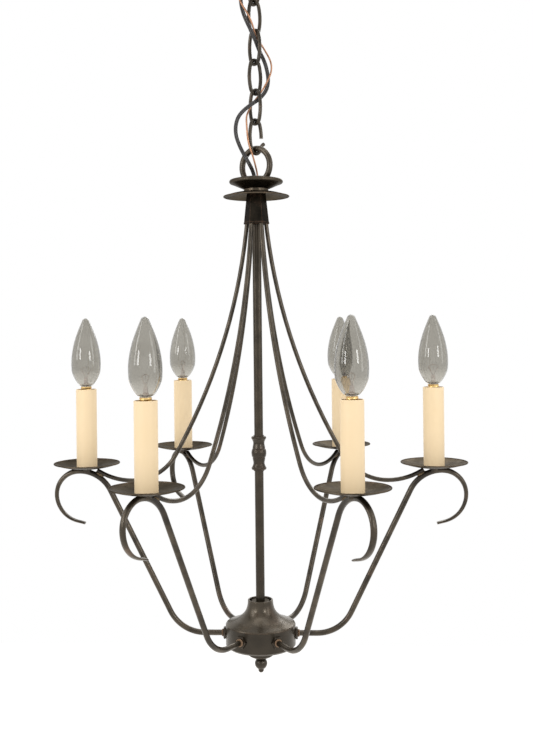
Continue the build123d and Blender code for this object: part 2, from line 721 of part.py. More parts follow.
# The bare earth wire, which runs beside it and crosses over it.
GROUND_ROUTE = [
    (2.2, 0.0, -6.0), (2.0, 0.2, -18.0), (1.6, -0.8, -29.9), (0.4, 5.2, -41.9), (-6.6, 9.1, -52.0),
    (-13.4, 6.2, -64.0), (-18.2, -1.6, -76.0), (-16.6, -9.6, -87.0), (-11.8, -12.0, -97.5),
    (-6.4, -12.4, -106.0), (-1.6, -11.0, -116.6), (1.0, -2.8, -126.9), (5.9, 0.3, -133.6),
    (11.2, 4.0, -142.0), (16.0, 4.2, -150.5), (18.2, 2.0, -159.0), (17.4, -2.0, -168.0),
    (13.4, -4.4, -177.0), (8.8, -2.5, -184.8), (3.1, 0.4, -191.7), (-2.6, 0.3, -199.0),
    (-7.2, -0.8, -207.0), (-9.5, -7.8, -215.5), (-8.8, -10.6, -226.0), (-8.2, -10.4, -237.0),
    (-6.6, -9.8, -246.5), (-3.2, -8.2, -255.5), (-0.6, -4.6, -265.5), (1.5, -1.2, -275.0),
    (1.9, 0.0, -284.0), (1.9, 0.0, -295.0),
]


def cord(name, route, diameter):
    """Round tube along straight runs that tangent arcs join, as large as the runs allow."""
    points = [Vector(*p) for p in route]
    runs = [b - a for a, b in zip(points, points[1:])]
    radii = []
    for before, after in zip(runs, runs[1:]):
        half_turn = math.radians(before.get_angle(after) / 2)
        radii.append(0.45 * min(before.length, after.length) / math.tan(half_turn))
    path = FilletPolyline(*points, radius=radii)
    body = pipe(path, diameter)
    section = math.pi * diameter**2 / 4
    print(name, "length", round(path.length, 1), "tightest", round(min(radii), 1))
    print(name, "volume over section x length", round(body.volume / (section * path.length), 4))
    return body


def arm_lead():
    """The insulated pair inside one arm, from the hub to under the socket."""
    foot_start, foot_top, bend_top, crown = arm_points()
    return pipe(arm_path(arm_start - 6.0), arm_lead_diameter)


def stem_leads():
    """Three wires down the stem to the splices in the pan."""
    low = stem_foot_z + 1.0
    high = stem_top_z - 10.2
    return [Rot(0, 0, 120 * n) * Pos(1.7, 0, 0) * tube(2.6, 0, low, high) for n in range(3)]


def wire_nut(n):
    """Plastic splice cap lying in the pan."""
    lying = Rot(0, 0, 30 + 120 * n) * Pos(19.0, 0, hub_bottom_z + 1.7) * Rot(0, 90, 0)
    return lying * Cone(3.0, 2.0, 11.0)


# ---------------------------------------------------------------- places of hidden joints
loop_neck_bottom = loop_z + loop_ring_radius - 1.0
loop_neck_top = loop_neck_bottom + loop_neck_length + 4.0
nipple_bottom = loop_neck_top - 8.0
stem_top_z = neck_z + 8.0
stem_foot_z = hub_top_z + 4.0
arm_start = hub_diameter / 2 - 4.0
base_bottom_z = cover_top_z + base_above_cover - base_length
finial_top_z = hub_bottom_z - hub_floor_sag - check_ring_height - 2 * fit


def build():
    write(canopy(), "ceiling_canopy")
    write(strap(), "ceiling_strap")
    write(tube(nipple_diameter, nipple_bore, nipple_bottom + fit, -strap_face_gap), "canopy_nipple")
    write(Compound(canopy_nuts()), "canopy_nuts")
    write(canopy_loop(), "canopy_loop")
    write(collar_ring(), "collar_ring")
    for n in range(LINKS):
        write(link(n), f"chain_link_{n + 1}")
    write(hanging_loop(), "hanging_loop")
    write(upper_disc(), "upper_disc")
    write(lower_dish(), "inverted_dish")
    write(hex_collar(), "hex_collar")
    write(stem(knuckle_z + 1.5 + fit, stem_top_z), "stem_upper")
    write(knuckle(), "stem_knuckle")
    write(stem(stem_foot_z + fit, knuckle_z - 1.5 - fit), "stem_lower")
    write(bell_cap(), "hub_bell_cap")
    write(stem_washer(), "stem_washer")
    write(hub_body(), "hub_pan")
    write(hub_spider(), "hub_spider")
    write(tie_rod(), "hub_tie_rod")
    write(check_ring(), "hub_check_ring")
    write(finial(), "finial")
    write(Compound([around(locknut(), n) for n in range(ARMS)]), "arm_locknuts")
    write(Compound([around(bushing(), n) for n in range(ARMS)]), "arm_bushings")
    write(Compound([around(arm_lead(), n) for n in range(ARMS)] + stem_leads()), "inside_wires")
    write(Compound([wire_nut(n) for n in range(3)]), "wire_nuts")
    write(Compound([around(pipe(rod_path(), rod_diameter), n) for n in range(ARMS)]), "stay_rods")
    write(Compound([around(dish_on_arm(), n) for n in range(ARMS)]), "candle_dishes")
    write(Compound([around(socket_post(), n) for n in range(ARMS)]), "socket_posts")
    sockets = [around(piece, n) for n in range(ARMS) for piece in lamp_socket()]
    write(Compound(sockets), "lamp_sockets")
    for n in range(ARMS):
        write(around(arm(), n), f"arm_{n + 1}")
        write(around(candle_cover(), n), f"candle_cover_{n + 1}")
        write(Compound([around(bulb_base(), n), around(filament(), n)]), f"bulb_base_{n + 1}")
        write(around(bulb(), n), f"bulb_{n + 1}")
    write(cord("supply cord", SUPPLY_ROUTE, supply_cord_width), "supply_cord")
    write(cord("ground wire", GROUND_ROUTE, ground_wire_diameter), "ground_wire")


build()
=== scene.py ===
# %% [markdown]
# # A six-light candle chandelier
# The real thing is a turned and bent steel chandelier with an oil-rubbed bronze finish. It hangs on
# six links of chain, with its cord woven down through them. The solids of every part arrive already
# in place, so this file's work is the finish on them, and finer pieces where a plain solid falls
# short: wire links with their butt joints, threads, dishes with a rolled edge, lamps and cords.

# %% Load the parts
import math

import bmesh
import bpy
from mathutils import Matrix, Vector


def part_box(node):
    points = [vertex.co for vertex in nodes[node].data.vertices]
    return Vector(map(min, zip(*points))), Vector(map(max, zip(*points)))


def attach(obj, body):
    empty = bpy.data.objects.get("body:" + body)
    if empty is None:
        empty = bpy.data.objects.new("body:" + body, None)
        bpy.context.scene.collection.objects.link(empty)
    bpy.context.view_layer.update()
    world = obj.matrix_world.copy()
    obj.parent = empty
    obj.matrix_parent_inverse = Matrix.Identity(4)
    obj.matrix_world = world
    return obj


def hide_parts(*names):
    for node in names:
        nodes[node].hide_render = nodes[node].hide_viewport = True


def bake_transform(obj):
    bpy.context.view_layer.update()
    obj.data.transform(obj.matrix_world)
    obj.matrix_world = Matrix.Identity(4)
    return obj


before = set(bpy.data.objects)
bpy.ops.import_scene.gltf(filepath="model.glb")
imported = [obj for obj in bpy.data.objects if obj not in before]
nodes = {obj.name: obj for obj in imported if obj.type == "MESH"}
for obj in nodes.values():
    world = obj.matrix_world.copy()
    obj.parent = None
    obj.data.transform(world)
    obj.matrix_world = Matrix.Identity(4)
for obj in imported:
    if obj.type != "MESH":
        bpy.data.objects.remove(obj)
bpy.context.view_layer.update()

MM = 0.001
ARMS = 6
LINKS = 6
low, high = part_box("candle_cover_1")
CANDLE_CIRCLE = (low[0] + high[0]) / 2
ARM_TURNS = []
for n in range(ARMS):
    low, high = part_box(f"candle_cover_{n + 1}")
    ARM_TURNS.append(math.atan2(low[1] + high[1], low[0] + high[0]) % (2 * math.pi))
print("arms at", [round(math.degrees(turn), 1) % 360 for turn in ARM_TURNS])

# %% [markdown]
# ## The eye
# A chandelier is best judged level with its arms, from a little over a metre away. The camera stays
# level and looks at the stem, and a small shift puts the lamps where they belong without tilting
# it. A hung lamp is never quite true, so the camera is turned by under a degree.

# %% Camera
EYE = Vector((55.5, -1059.5, -436.0)) * MM
LEAN = math.radians(0.6)
camera = bpy.data.objects.new("camera", bpy.data.cameras.new("camera"))
bpy.context.scene.collection.objects.link(camera)
bpy.context.scene.camera = camera
camera.data.lens = 47.0
camera.data.sensor_width = 36.0
camera.data.shift_x = 0.0119
camera.data.shift_y = -0.0714
camera.data.clip_end = 50.0
camera.location = EYE
toward_stem = Vector((-EYE.x, -EYE.y, 0.0))
facing_stem = toward_stem.to_track_quat("-Z", "Y")
camera.rotation_euler = (facing_stem @ Matrix.Rotation(-LEAN, 3, "Z").to_quaternion()).to_euler()
print("camera stands", round(toward_stem.length, 3), "m from the stem")

# %% [markdown]
# ## The room
# The background is pure white to the eye and to whatever reflects or bends light. Everything else
# gets a soft grey sky. Large lamps at both sides draw long soft streaks down the round bars, and two
# small ones in front put a bright spot on each flank of a bulb. Raising the lamps until the wall
# went white would have washed the finish out.


# %% Two helpers for node trees
def add(tree, kind, inputs=None, **settings):
    """A new node with its settings, and its inputs either linked or filled in."""
    made = tree.nodes.new(kind)
    for name, value in settings.items():
        setattr(made, name, value)
    for name, value in (inputs or {}).items():
        if isinstance(value, bpy.types.NodeSocket):
            tree.links.new(value, made.inputs[name])
        else:
            made.inputs[name].default_value = value
    return made


def seen_directly(tree):
    """1 where the eye, a reflection or a refraction looks, else 0."""
    path = add(tree, "ShaderNodeLightPath")
    rays = [path.outputs[f"Is {kind} Ray"] for kind in ("Camera", "Glossy", "Transmission")]
    first = add(tree, "ShaderNodeMath", {0: rays[0], 1: rays[1]}, operation="MAXIMUM")
    return add(tree, "ShaderNodeMath", {0: first.outputs[0], 1: rays[2]}, operation="MAXIMUM").outputs[0]


# %% White background and grey sky
world = bpy.data.worlds.new("white room")
bpy.context.scene.world = world
world.use_nodes = True
sky = world.node_tree
sky.nodes.clear()
soft = add(sky, "ShaderNodeBackground", {"Color": (1.0, 0.98, 0.95, 1), "Strength": 0.66})
white = add(sky, "ShaderNodeBackground", {"Color": (1, 1, 1, 1), "Strength": 1.0})
choice = add(sky, "ShaderNodeMixShader", {0: seen_directly(sky), 1: soft.outputs[0], 2: white.outputs[0]})
add(sky, "ShaderNodeOutputWorld", {"Surface": choice.outputs[0]})
print("sky strength", round(soft.inputs["Strength"].default_value, 2))

# %% Lamps round it
MIDDLE = Vector((0, 0, -0.52))


def lamp(name, place, width, height, watts):
    """A flat white lamp that faces the middle of the chandelier. It is never seen itself."""
    data = bpy.data.lights.new(name, "AREA")
    data.shape = "RECTANGLE"
    data.size, data.size_y, data.energy = width, height, watts
    obj = bpy.data.objects.new(name, data)
    bpy.context.scene.collection.objects.link(obj)
    obj.location = place
    obj.rotation_euler = (MIDDLE - Vector(place)).to_track_quat("-Z", "Y").to_euler()
    obj.visible_camera = obj.visible_transmission = False


lamp("key", (-1.9, -0.9, 0.4), 0.5, 1.6, 10)
lamp("side", (1.9, -0.7, 0.1), 0.5, 1.6, 6.5)
lamp("left softbox", (-1.10, -1.30, -0.14), 0.34, 0.42, 5)
lamp("right softbox", (1.07, -1.32, -0.14), 0.34, 0.42, 5)
lamp("back", (0.6, 1.8, 0.6), 1.2, 1.0, 12)
lamp("overhead", (0.0, -0.2, 1.2), 1.4, 1.4, 9)
bpy.context.scene.view_settings.view_transform = "Standard"
print("room lamps", len(bpy.data.lights), "with", sum(light.energy for light in bpy.data.lights), "W")

# %% [markdown]
# ## The floor
# A hung lamp needs no floor, but its shadow shows how high it hangs when it is seen from the side.
# The floor glows by itself and takes the lamps' light on top. Together they pass white where the
# floor is open, and fall short of it under the lamp, so only the shadow is left to see.

# %% Floor
FLOOR_Z, FLOOR_REACH = -2.1, 4
FLOOR_GLOW = 0.55
floor_mesh = bpy.data.meshes.new("floor")
corners = [(x * FLOOR_REACH, y * FLOOR_REACH, FLOOR_Z) for x, y in ((-1, -1), (1, -1), (1, 1), (-1, 1))]
floor_mesh.from_pydata(corners, [], [(0, 1, 2, 3)])
floor = bpy.data.objects.new("floor", floor_mesh)
bpy.context.scene.collection.objects.link(floor)
paper = bpy.data.materials.new("white floor")
paper.use_nodes = True
sheet = paper.node_tree
sheet.nodes.clear()
matt = add(sheet, "ShaderNodeBsdfDiffuse", {"Color": (0.9, 0.9, 0.9, 1)})
share = add(sheet, "ShaderNodeMath", {0: seen_directly(sheet), 1: FLOOR_GLOW}, operation="MULTIPLY")
glow = add(sheet, "ShaderNodeEmission", {"Color": (1, 1, 1, 1), "Strength": share.outputs[0]})
blend = add(sheet, "ShaderNodeAddShader", {0: matt.outputs[0], 1: glow.outputs[0]})
add(sheet, "ShaderNodeOutputMaterial", {"Surface": blend.outputs[0]})
floor_mesh.materials.append(paper)
print("floor", 2 * FLOOR_REACH, "m wide at", FLOOR_Z)

# %% [markdown]
# ## Oil-rubbed bronze
# The steel is plated a dark brown, rubbed back by hand and waxed. It is darker in hollows, and warm
# copper shows through on edges and in a few rubbed patches. Cloudy noise makes the patches, and the
# Bevel node finds edges: where its rounded normal differs from the true one, the plating is thin.


# %% Parts of any finish
def new_finish(name):
    """An empty finish: the material, its nodes, its shader and the place on the part to paint from."""
    material = bpy.data.materials.new(name)
    material.use_nodes = True
    tree = material.node_tree
    tree.nodes.clear()
    out = add(tree, "ShaderNodeOutputMaterial")
    shader = add(tree, "ShaderNodeBsdfPrincipled")
    tree.links.new(shader.outputs[0], out.inputs["Surface"])
    where = add(tree, "ShaderNodeTexCoord").outputs["Object"]
    return material, tree, shader, where


def clouds(tree, where, size_mm, detail=4.0, roughness=0.55):
    """Noise whose blobs are about size_mm across."""
    made = add(tree, "ShaderNodeTexNoise", {
        "Vector": where, "Scale": 1000.0 / size_mm, "Detail": detail, "Roughness": roughness})
    return made.outputs["Fac"]


def spread(tree, value, low, high, to_low=0.0, to_high=1.0):
    """The value's run from low to high, stretched over to_low to to_high and cut off outside it."""
    made = add(tree, "ShaderNodeMapRange", {0: value, 1: low, 2: high, 3: to_low, 4: to_high})
    return made.outputs[0]


def mix(tree, share, first, second):
    """A colour between two, each a socket or three numbers: share is how much of the second."""
    made = tree.nodes.new("ShaderNodeMix")
    made.data_type = "RGBA"
    for socket, value in ((made.inputs[0], share), (made.inputs[6], first), (made.inputs[7], second)):
        if isinstance(value, bpy.types.NodeSocket):
            tree.links.new(value, socket)
        else:
            socket.default_value = value if isinstance(value, float) else (*value, 1)
    return made.outputs[2]


def worn_edges(tree, reach_mm):
    """1 along sharp edges, 0 on flat and gently round faces."""
    true = add(tree, "ShaderNodeNewGeometry").outputs["Normal"]
    eased = add(tree, "ShaderNodeBevel", {"Radius": reach_mm * MM}, samples=4).outputs[0]
    match = add(tree, "ShaderNodeVectorMath", {0: true, 1: eased}, operation="DOT_PRODUCT").outputs["Value"]
    return spread(tree, match, 0.995, 0.90)


# %% Bronze
PLATING_DARK, PLATING_BROWN = (0.026, 0.021, 0.0145), (0.082, 0.065, 0.045)
RUBBED_COPPER = (0.30, 0.175, 0.115)
HEAT_STAIN = (0.016, 0.013, 0.011)


def bronze(name, dents_mm=0.0, dent_depth=0.0, heat=None, depth=1.0, gloss=1.0, wear=1.0, rough=(0.26, 0.46)):
    """The plated finish.

    dents_mm and dent_depth are the width and depth of hammer marks, and heat is the middle and half
    width of the ring round the stem that a torch has stained, all in millimetres. depth under 1 is a
    darker plating and over 1 a lighter one; on the collar it is painted shade and on the hub cap a
    painted highlight. gloss under 1 is a duller plating that stays dark at a slant, and wear under 1
    a more even one with less copper showing. rough is the roughness of its shiniest and dullest places.
    """
    material, tree, shader, where = new_finish(name)
    dark, brown = [tuple(c * depth for c in colour) for colour in (PLATING_DARK, PLATING_BROWN)]
    share = spread(tree, clouds(tree, where, 16), 0.36, 0.64, 0.5 - 0.5 * wear, 0.5 + 0.5 * wear)
    colour = mix(tree, share, dark, brown)
    patch = spread(tree, clouds(tree, where, 34, 7.0, 0.68), 0.58, 0.76, 0.0, 0.42 * wear)
    colour = mix(tree, patch, colour, RUBBED_COPPER)
    broken = spread(tree, clouds(tree, where, 5), 0.35, 0.6, 0.15 * wear, 0.75 * wear)
    rub = add(tree, "ShaderNodeMath", {0: worn_edges(tree, 0.55), 1: broken}, operation="MULTIPLY").outputs[0]
    colour = mix(tree, rub, colour, RUBBED_COPPER)
    if heat:
        ring, half_wide = heat[0] * MM, heat[1] * MM
        flat = add(tree, "ShaderNodeVectorMath", {0: where, 1: (1, 1, 0)}, operation="MULTIPLY").outputs[0]
        out = add(tree, "ShaderNodeVectorMath", {0: flat}, operation="LENGTH").outputs["Value"]
        near = add(tree, "ShaderNodeMath", {0: out, 1: ring}, operation="SUBTRACT").outputs[0]
        near = add(tree, "ShaderNodeMath", {0: near}, operation="ABSOLUTE").outputs[0]
        stain = spread(tree, near, half_wide, 0.25 * half_wide, 0.0, 0.7)
        colour = mix(tree, stain, colour, HEAT_STAIN)
    tree.links.new(colour, shader.inputs["Base Color"])
    shader.inputs["Metallic"].default_value = 0.86
    tree.links.new(spread(tree, clouds(tree, where, 9, 6.0), 0.3, 0.7, *rough), shader.inputs["Roughness"])
    shader.inputs["Specular Tint"].default_value = (gloss, 0.97 * gloss, 0.92 * gloss, 1)
    shader.inputs["Coat Weight"].default_value = 0.28 * gloss**2
    shader.inputs["Coat Roughness"].default_value = 0.2
    grain = clouds(tree, where, 1.6, 3.0)
    bump = add(tree, "ShaderNodeBump", {"Height": grain, "Strength": 0.1, "Distance": 0.05 * MM})
    if dents_mm:
        cells = add(tree, "ShaderNodeTexVoronoi", {
            "Vector": where, "Scale": 1000.0 / dents_mm, "Smoothness": 0.6}, feature="SMOOTH_F1")
        bump = add(tree, "ShaderNodeBump", {
            "Height": cells.outputs["Distance"], "Strength": 0.9, "Distance": dent_depth * MM,
            "Normal": bump.outputs[0]})
    tree.links.new(bump.outputs[0], shader.inputs["Normal"])
    return material


# %% Eight bronzes
bar_bronze = bronze("bronze on bars and wire", heat=(174.0, 16.0), wear=0.8)
chain_bronze = bronze("bronze on the chain", depth=0.75, wear=0.8)
stem_bronze = bronze("bronze on the stem", dents_mm=14.0, dent_depth=0.02, depth=0.85, gloss=0.9, wear=0.4)
turned_bronze = bronze("bronze on turned parts", dents_mm=14.0, dent_depth=0.02, depth=0.72, wear=0.3)
# painted highlight: the hub cap's plating is lighter than on the other turned parts, for the bright soft
# light on the bell
cap_bronze_painted_highlight = bronze("bronze on the hub cap with painted highlight", dents_mm=14.0, dent_depth=0.02, depth=1.15, wear=0.4,
                    rough=(0.26, 0.38))
disc_bronze = bronze("bronze on the upper disc", gloss=0.5, wear=0.3)
dish_bronze = bronze("bronze on beaten dishes", dents_mm=6.5, dent_depth=0.14, depth=1.15, gloss=0.4,
                     wear=0.7)
# painted shade: the collar's plating is darkened to 0.3 for the light from above that is kept off it
collar_bronze_painted_shade = bronze("bronze on the faceted collar with painted shade", dents_mm=7.0, dent_depth=0.18, depth=0.3, gloss=0.4)
print("bronzes", len([m for m in bpy.data.materials if m.name.startswith("bronze on ")]))

# %% [markdown]
# ## The other finishes
# Candle covers are moulded in a warm cream with a soft gloss. Brass is left bright, and zinc-plated
# steel hides inside. Each gets its own small irregularities, because a perfectly even surface
# reads as plastic even when it isn't.


# %% Plain metals and mouldings
GRAIN_DEEP = 0.03 * MM


def metal(name, first, second, rough, grain_mm=1.2):
    """A bare metal that wanders between two colours and between two roughnesses."""
    material, tree, shader, where = new_finish(name)
    share = spread(tree, clouds(tree, where, 7), 0.35, 0.65)
    tree.links.new(mix(tree, share, first, second), shader.inputs["Base Color"])
    tree.links.new(spread(tree, clouds(tree, where, 3, 5.0), 0.3, 0.7, *rough), shader.inputs["Roughness"])
    shader.inputs["Metallic"].default_value = 1.0
    bump = add(tree, "ShaderNodeBump", {
        "Height": clouds(tree, where, grain_mm), "Strength": 0.2, "Distance": GRAIN_DEEP})
    tree.links.new(bump.outputs[0], shader.inputs["Normal"])
    return material


def moulded(name, first, second, rough, coat=0.0, cloud_mm=25.0, ripple=0.12):
    """A moulded plastic: coat is its skin of gloss, and ripple the unevenness of its surface."""
    material, tree, shader, where = new_finish(name)
    share = spread(tree, clouds(tree, where, cloud_mm), 0.35, 0.65)
    tree.links.new(mix(tree, share, first, second), shader.inputs["Base Color"])
    tree.links.new(spread(tree, clouds(tree, where, 12, 5.0), 0.3, 0.7, *rough), shader.inputs["Roughness"])
    shader.inputs["Coat Weight"].default_value = coat
    shader.inputs["Coat Roughness"].default_value = 0.12
    bump = add(tree, "ShaderNodeBump", {
        "Height": clouds(tree, where, 3.0), "Strength": ripple, "Distance": GRAIN_DEEP})
    tree.links.new(bump.outputs[0], shader.inputs["Normal"])
    return material


# %% Brass, steel, copper, cream and the rest
brass = metal("bright brass", (0.80, 0.56, 0.24), (0.66, 0.43, 0.17), (0.2, 0.36))
dull_brass = metal("dull brass fittings", (0.25, 0.165, 0.105), (0.15, 0.10, 0.065), (0.34, 0.55))
zinc = metal("zinc-plated steel", (0.60, 0.60, 0.58), (0.48, 0.48, 0.47), (0.3, 0.5))
copper = metal("bare copper wire", (0.46, 0.24, 0.14), (0.30, 0.155, 0.09), (0.28, 0.45))
tungsten = metal("lamp wire", (0.90, 0.83, 0.78), (0.55, 0.45, 0.41), (0.12, 0.25))
press_finish = metal("silvery lamp press", (0.96, 0.92, 0.90), (0.72, 0.62, 0.60), (0.06, 0.16), grain_mm=3.0)
braze = metal("plated braze", (0.17, 0.125, 0.075), (0.075, 0.055, 0.036), (0.38, 0.6), grain_mm=2.5)
cream = moulded("cream candle cover", (0.94, 0.735, 0.46), (0.95, 0.75, 0.48), (0.46, 0.5),
                coat=0.12, ripple=0.04)
phenolic = moulded("black moulding", (0.020, 0.019, 0.018), (0.032, 0.030, 0.028), (0.4, 0.6))
cord_skin = moulded("brown cord insulation", (0.008, 0.006, 0.005), (0.014, 0.010, 0.008), (0.30, 0.36),
                    coat=0.15, cloud_mm=6.0, ripple=0.03)
lead_skin = moulded("white lead insulation", (0.80, 0.79, 0.76), (0.70, 0.69, 0.66), (0.4, 0.55))
splice_orange = moulded("orange splice cap", (0.80, 0.27, 0.04), (0.70, 0.22, 0.03), (0.4, 0.55))
print("finishes so far", len(bpy.data.materials))

# %% [markdown]
# ## Lamp glass
# Clear lamp glass is a thin shell that bends what is behind it only at its edges. The wall is
# modelled, with an outer and an inner face, because a solid lens would turn the room upside down.
# The grey such lamps show against white is painted shade in the glass's colour, deeper at a slant as
# painted shade for the dark its edges bend in, and paler at the neck as painted light from the press.
# The wall also soaks up a little light on the way through, so it darkens where it is seen edge on.

# %% Glass
COVER_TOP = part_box("candle_cover_1")[1][2]
# painted shade: two greys in the glass's colour that stand for what is seen through it
PAINTED_GREY_DEEP, PAINTED_GREY_PALE = (0.57, 0.555, 0.515), (0.63, 0.615, 0.575)
# the next line's first colour is painted shade where the glass is seen edge on, and its second is painted
# light at the neck from the press
RIM_PAINTED_SHADE, NECK_PAINTED_LIGHT = (0.14, 0.135, 0.12), (0.80, 0.78, 0.73)
NECK_LOW, NECK_HIGH = COVER_TOP + 4 * MM, COVER_TOP + 22 * MM

glass, tree, shader, where = new_finish("clear lamp glass")
# painted shade: the glass's grey wanders between the two painted greys
painted_grey = mix(tree, spread(tree, clouds(tree, where, 28), 0.3, 0.7), PAINTED_GREY_DEEP, PAINTED_GREY_PALE)
# painted shade at the rim: the glass's colour is darkened where it is seen at a slant
painted_rim_shade_mask = add(tree, "ShaderNodeLayerWeight", {"Blend": 0.5}).outputs["Facing"]
painted_grey = mix(tree, spread(tree, painted_rim_shade_mask, 0.55, 0.95), painted_grey, RIM_PAINTED_SHADE)
# painted light at the neck: the glass's colour is paled near the press, below NECK_HIGH
height = add(tree, "ShaderNodeSeparateXYZ", {0: where}).outputs[2]
painted_grey = mix(tree, spread(tree, height, NECK_HIGH, NECK_LOW, 0.0, 0.8), painted_grey, NECK_PAINTED_LIGHT)
tree.links.new(painted_grey, shader.inputs["Base Color"])
soak = add(tree, "ShaderNodeVolumeAbsorption", {"Color": (0.06, 0.04, 0.0, 1), "Density": 85.0})
tree.links.new(soak.outputs[0], next(n for n in tree.nodes if n.type == "OUTPUT_MATERIAL").inputs["Volume"])
shader.inputs["Transmission Weight"].default_value = 1.0
shader.inputs["IOR"].default_value = 1.46
shader.inputs["Roughness"].default_value = 0.0
# below the first level the glass is painted palest as painted light from the press, and above the second its
# grey is painted shade
print("glass is palest below", round(NECK_LOW, 4), "and smoked above", round(NECK_HIGH, 4))

# %% [markdown]
# ## Dressing the solids
# Most solids have the right form and only need their finish. Giving each material by the node's
# name keeps the whole list in one place, where a missing one is easy to see.


# %% Finishes by part
def numbered(name, count):
    return [f"{name}_{n + 1}" for n in range(count)]


FINISH = {
    bar_bronze: ["hanging_loop", "canopy_loop", "stay_rods", "socket_posts"] + numbered("arm", ARMS),
    chain_bronze: numbered("chain_link", LINKS),
    stem_bronze: ["stem_upper", "stem_lower"],
    turned_bronze: ["ceiling_canopy", "collar_ring", "stem_knuckle", "hub_pan", "hub_check_ring", "finial",
                    "arm_locknuts"],
    # the hub cap's finish carries a painted highlight
    cap_bronze_painted_highlight: ["hub_bell_cap"],
    disc_bronze: ["upper_disc", "stem_washer"],
    dish_bronze: ["inverted_dish", "candle_dishes"],
    # the collar's finish carries painted shade
    collar_bronze_painted_shade: ["hex_collar"],
    zinc: ["ceiling_strap", "canopy_nipple", "canopy_nuts", "hub_spider", "hub_tie_rod"],
    cream: numbered("candle_cover", ARMS),
    brass: numbered("bulb_base", ARMS),
    dull_brass: ["arm_bushings"],
    phenolic: ["lamp_sockets"],
    lead_skin: ["inside_wires"],
    splice_orange: ["wire_nuts"],
    glass: numbered("bulb", ARMS),
    cord_skin: ["supply_cord"],
    copper: ["ground_wire"],
}
for material, names in FINISH.items():
    for name in names:
        nodes[name].data.materials.clear()
        nodes[name].data.materials.append(material)
bare = [name for name in nodes if not any(name in names for names in FINISH.values())]
print("parts with no finish", bare)

# %% [markdown]
# ## Ways to make a piece
# Three ways cover everything here. Turning spins an outline round an axis, as a lathe does. Drawing
# sweeps a section along a line, as wire is drawn. Copying round the stem is a small Geometry Nodes
# tree, so that six of anything come from one. The six arms aren't spaced quite evenly, as on any
# hand-drilled hub, so the tree reads each copy's turn from a list that is kept on six points.


# %% A finished piece
def new_piece(name, points, faces, material, round_over=40.0):
    """A finished piece at the origin, smooth where its faces meet at less than round_over degrees."""
    mesh = bpy.data.meshes.new(name)
    mesh.from_pydata([tuple(p) for p in points], [], faces)
    mesh.materials.append(material)
    obj = bpy.data.objects.new(name, mesh)
    bpy.context.scene.collection.objects.link(obj)
    tidy(mesh, round_over)
    return obj


def tidy(mesh, round_over=40.0):
    """Joins doubled points, turns faces outwards, and keeps edges of over round_over degrees sharp."""
    work = bmesh.new()
    work.from_mesh(mesh)
    bmesh.ops.remove_doubles(work, verts=work.verts, dist=0.000001)
    bmesh.ops.recalc_face_normals(work, faces=work.faces)
    for face in work.faces:
        face.smooth = True
    for edge in work.edges:
        edge.smooth = not (edge.is_manifold and edge.calc_face_angle(0) > math.radians(round_over))
    work.to_mesh(mesh)
    work.free()
    mesh.update()


# %% Turning and drawing
def turn_outline(outline, sides=72, wave=None):
    """Points and faces of a closed (radius, height) outline spun about Z. wave moves the radius."""
    points, faces, count = [], [], len(outline)
    for s in range(sides):
        angle = 2 * math.pi * s / sides
        for r, z in outline:
            reach = r + (wave(r, z, angle) if wave else 0.0)
            points.append((reach * math.cos(angle), reach * math.sin(angle), z))
    for s in range(sides):
        after = (s + 1) % sides
        for k in range(count):
            up = (k + 1) % count
            faces.append((s * count + k, after * count + k, after * count + up, s * count + up))
    return points, faces


def draw_along(line, section, wide=Vector((0, 1, 0)), close_ends=True):
    """Points and faces of a section, (across, along wide) in metres, carried along a line."""
    points, faces, count = [], [], len(section)
    places = [Vector(p) for p in line]
    for i, place in enumerate(places):
        ahead, behind = places[min(i + 1, len(places) - 1)], places[max(i - 1, 0)]
        way = (ahead - behind).normalized()
        across = way.cross(wide).normalized()
        side = across.cross(way).normalized()
        for u, v in section:
            points.append(place + across * u + side * v)
    for i in range(len(places) - 1):
        for k in range(count):
            n = (k + 1) % count
            faces.append((i * count + k, i * count + n, (i + 1) * count + n, (i + 1) * count + k))
    if close_ends:
        faces.append(tuple(range(count)))
        faces.append(tuple((len(places) - 1) * count + k for k in range(count)))
    return points, faces


def circle(radius, sides):
    turns = [2 * math.pi * k / sides for k in range(sides)]
    return [(radius * math.cos(a), radius * math.sin(a)) for a in turns]


# %% What a piece moves with and stands for
def finished(obj, body, slot, *stands_for):
    """The piece moves with a body and may stand for solids, which are hidden; slot is not used."""
    if stands_for:
        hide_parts(*stands_for)
    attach(obj, body)
    return obj


# %% Copies round the stem, as Geometry Nodes
def new_tree(name, inputs):
    """A new tree with its named inputs, and its nodes for what comes in and what goes out."""
    tree = bpy.data.node_groups.new(name, "GeometryNodeTree")
    for label, kind in inputs:
        tree.interface.new_socket(label, in_out="INPUT", socket_type=kind)
    tree.interface.new_socket("Geometry", in_out="OUTPUT", socket_type="NodeSocketGeometry")
    return tree, tree.nodes.new("NodeGroupInput"), tree.nodes.new("NodeGroupOutput")


seat_mesh = bpy.data.meshes.new("arm seats")
seat_mesh.from_pydata([(0, 0, 0)] * ARMS, [], [])
seat_mesh.attributes.new("turn", "FLOAT", "POINT").data.foreach_set("value", ARM_TURNS)
arm_seats = bpy.data.objects.new("arm_seats", seat_mesh)

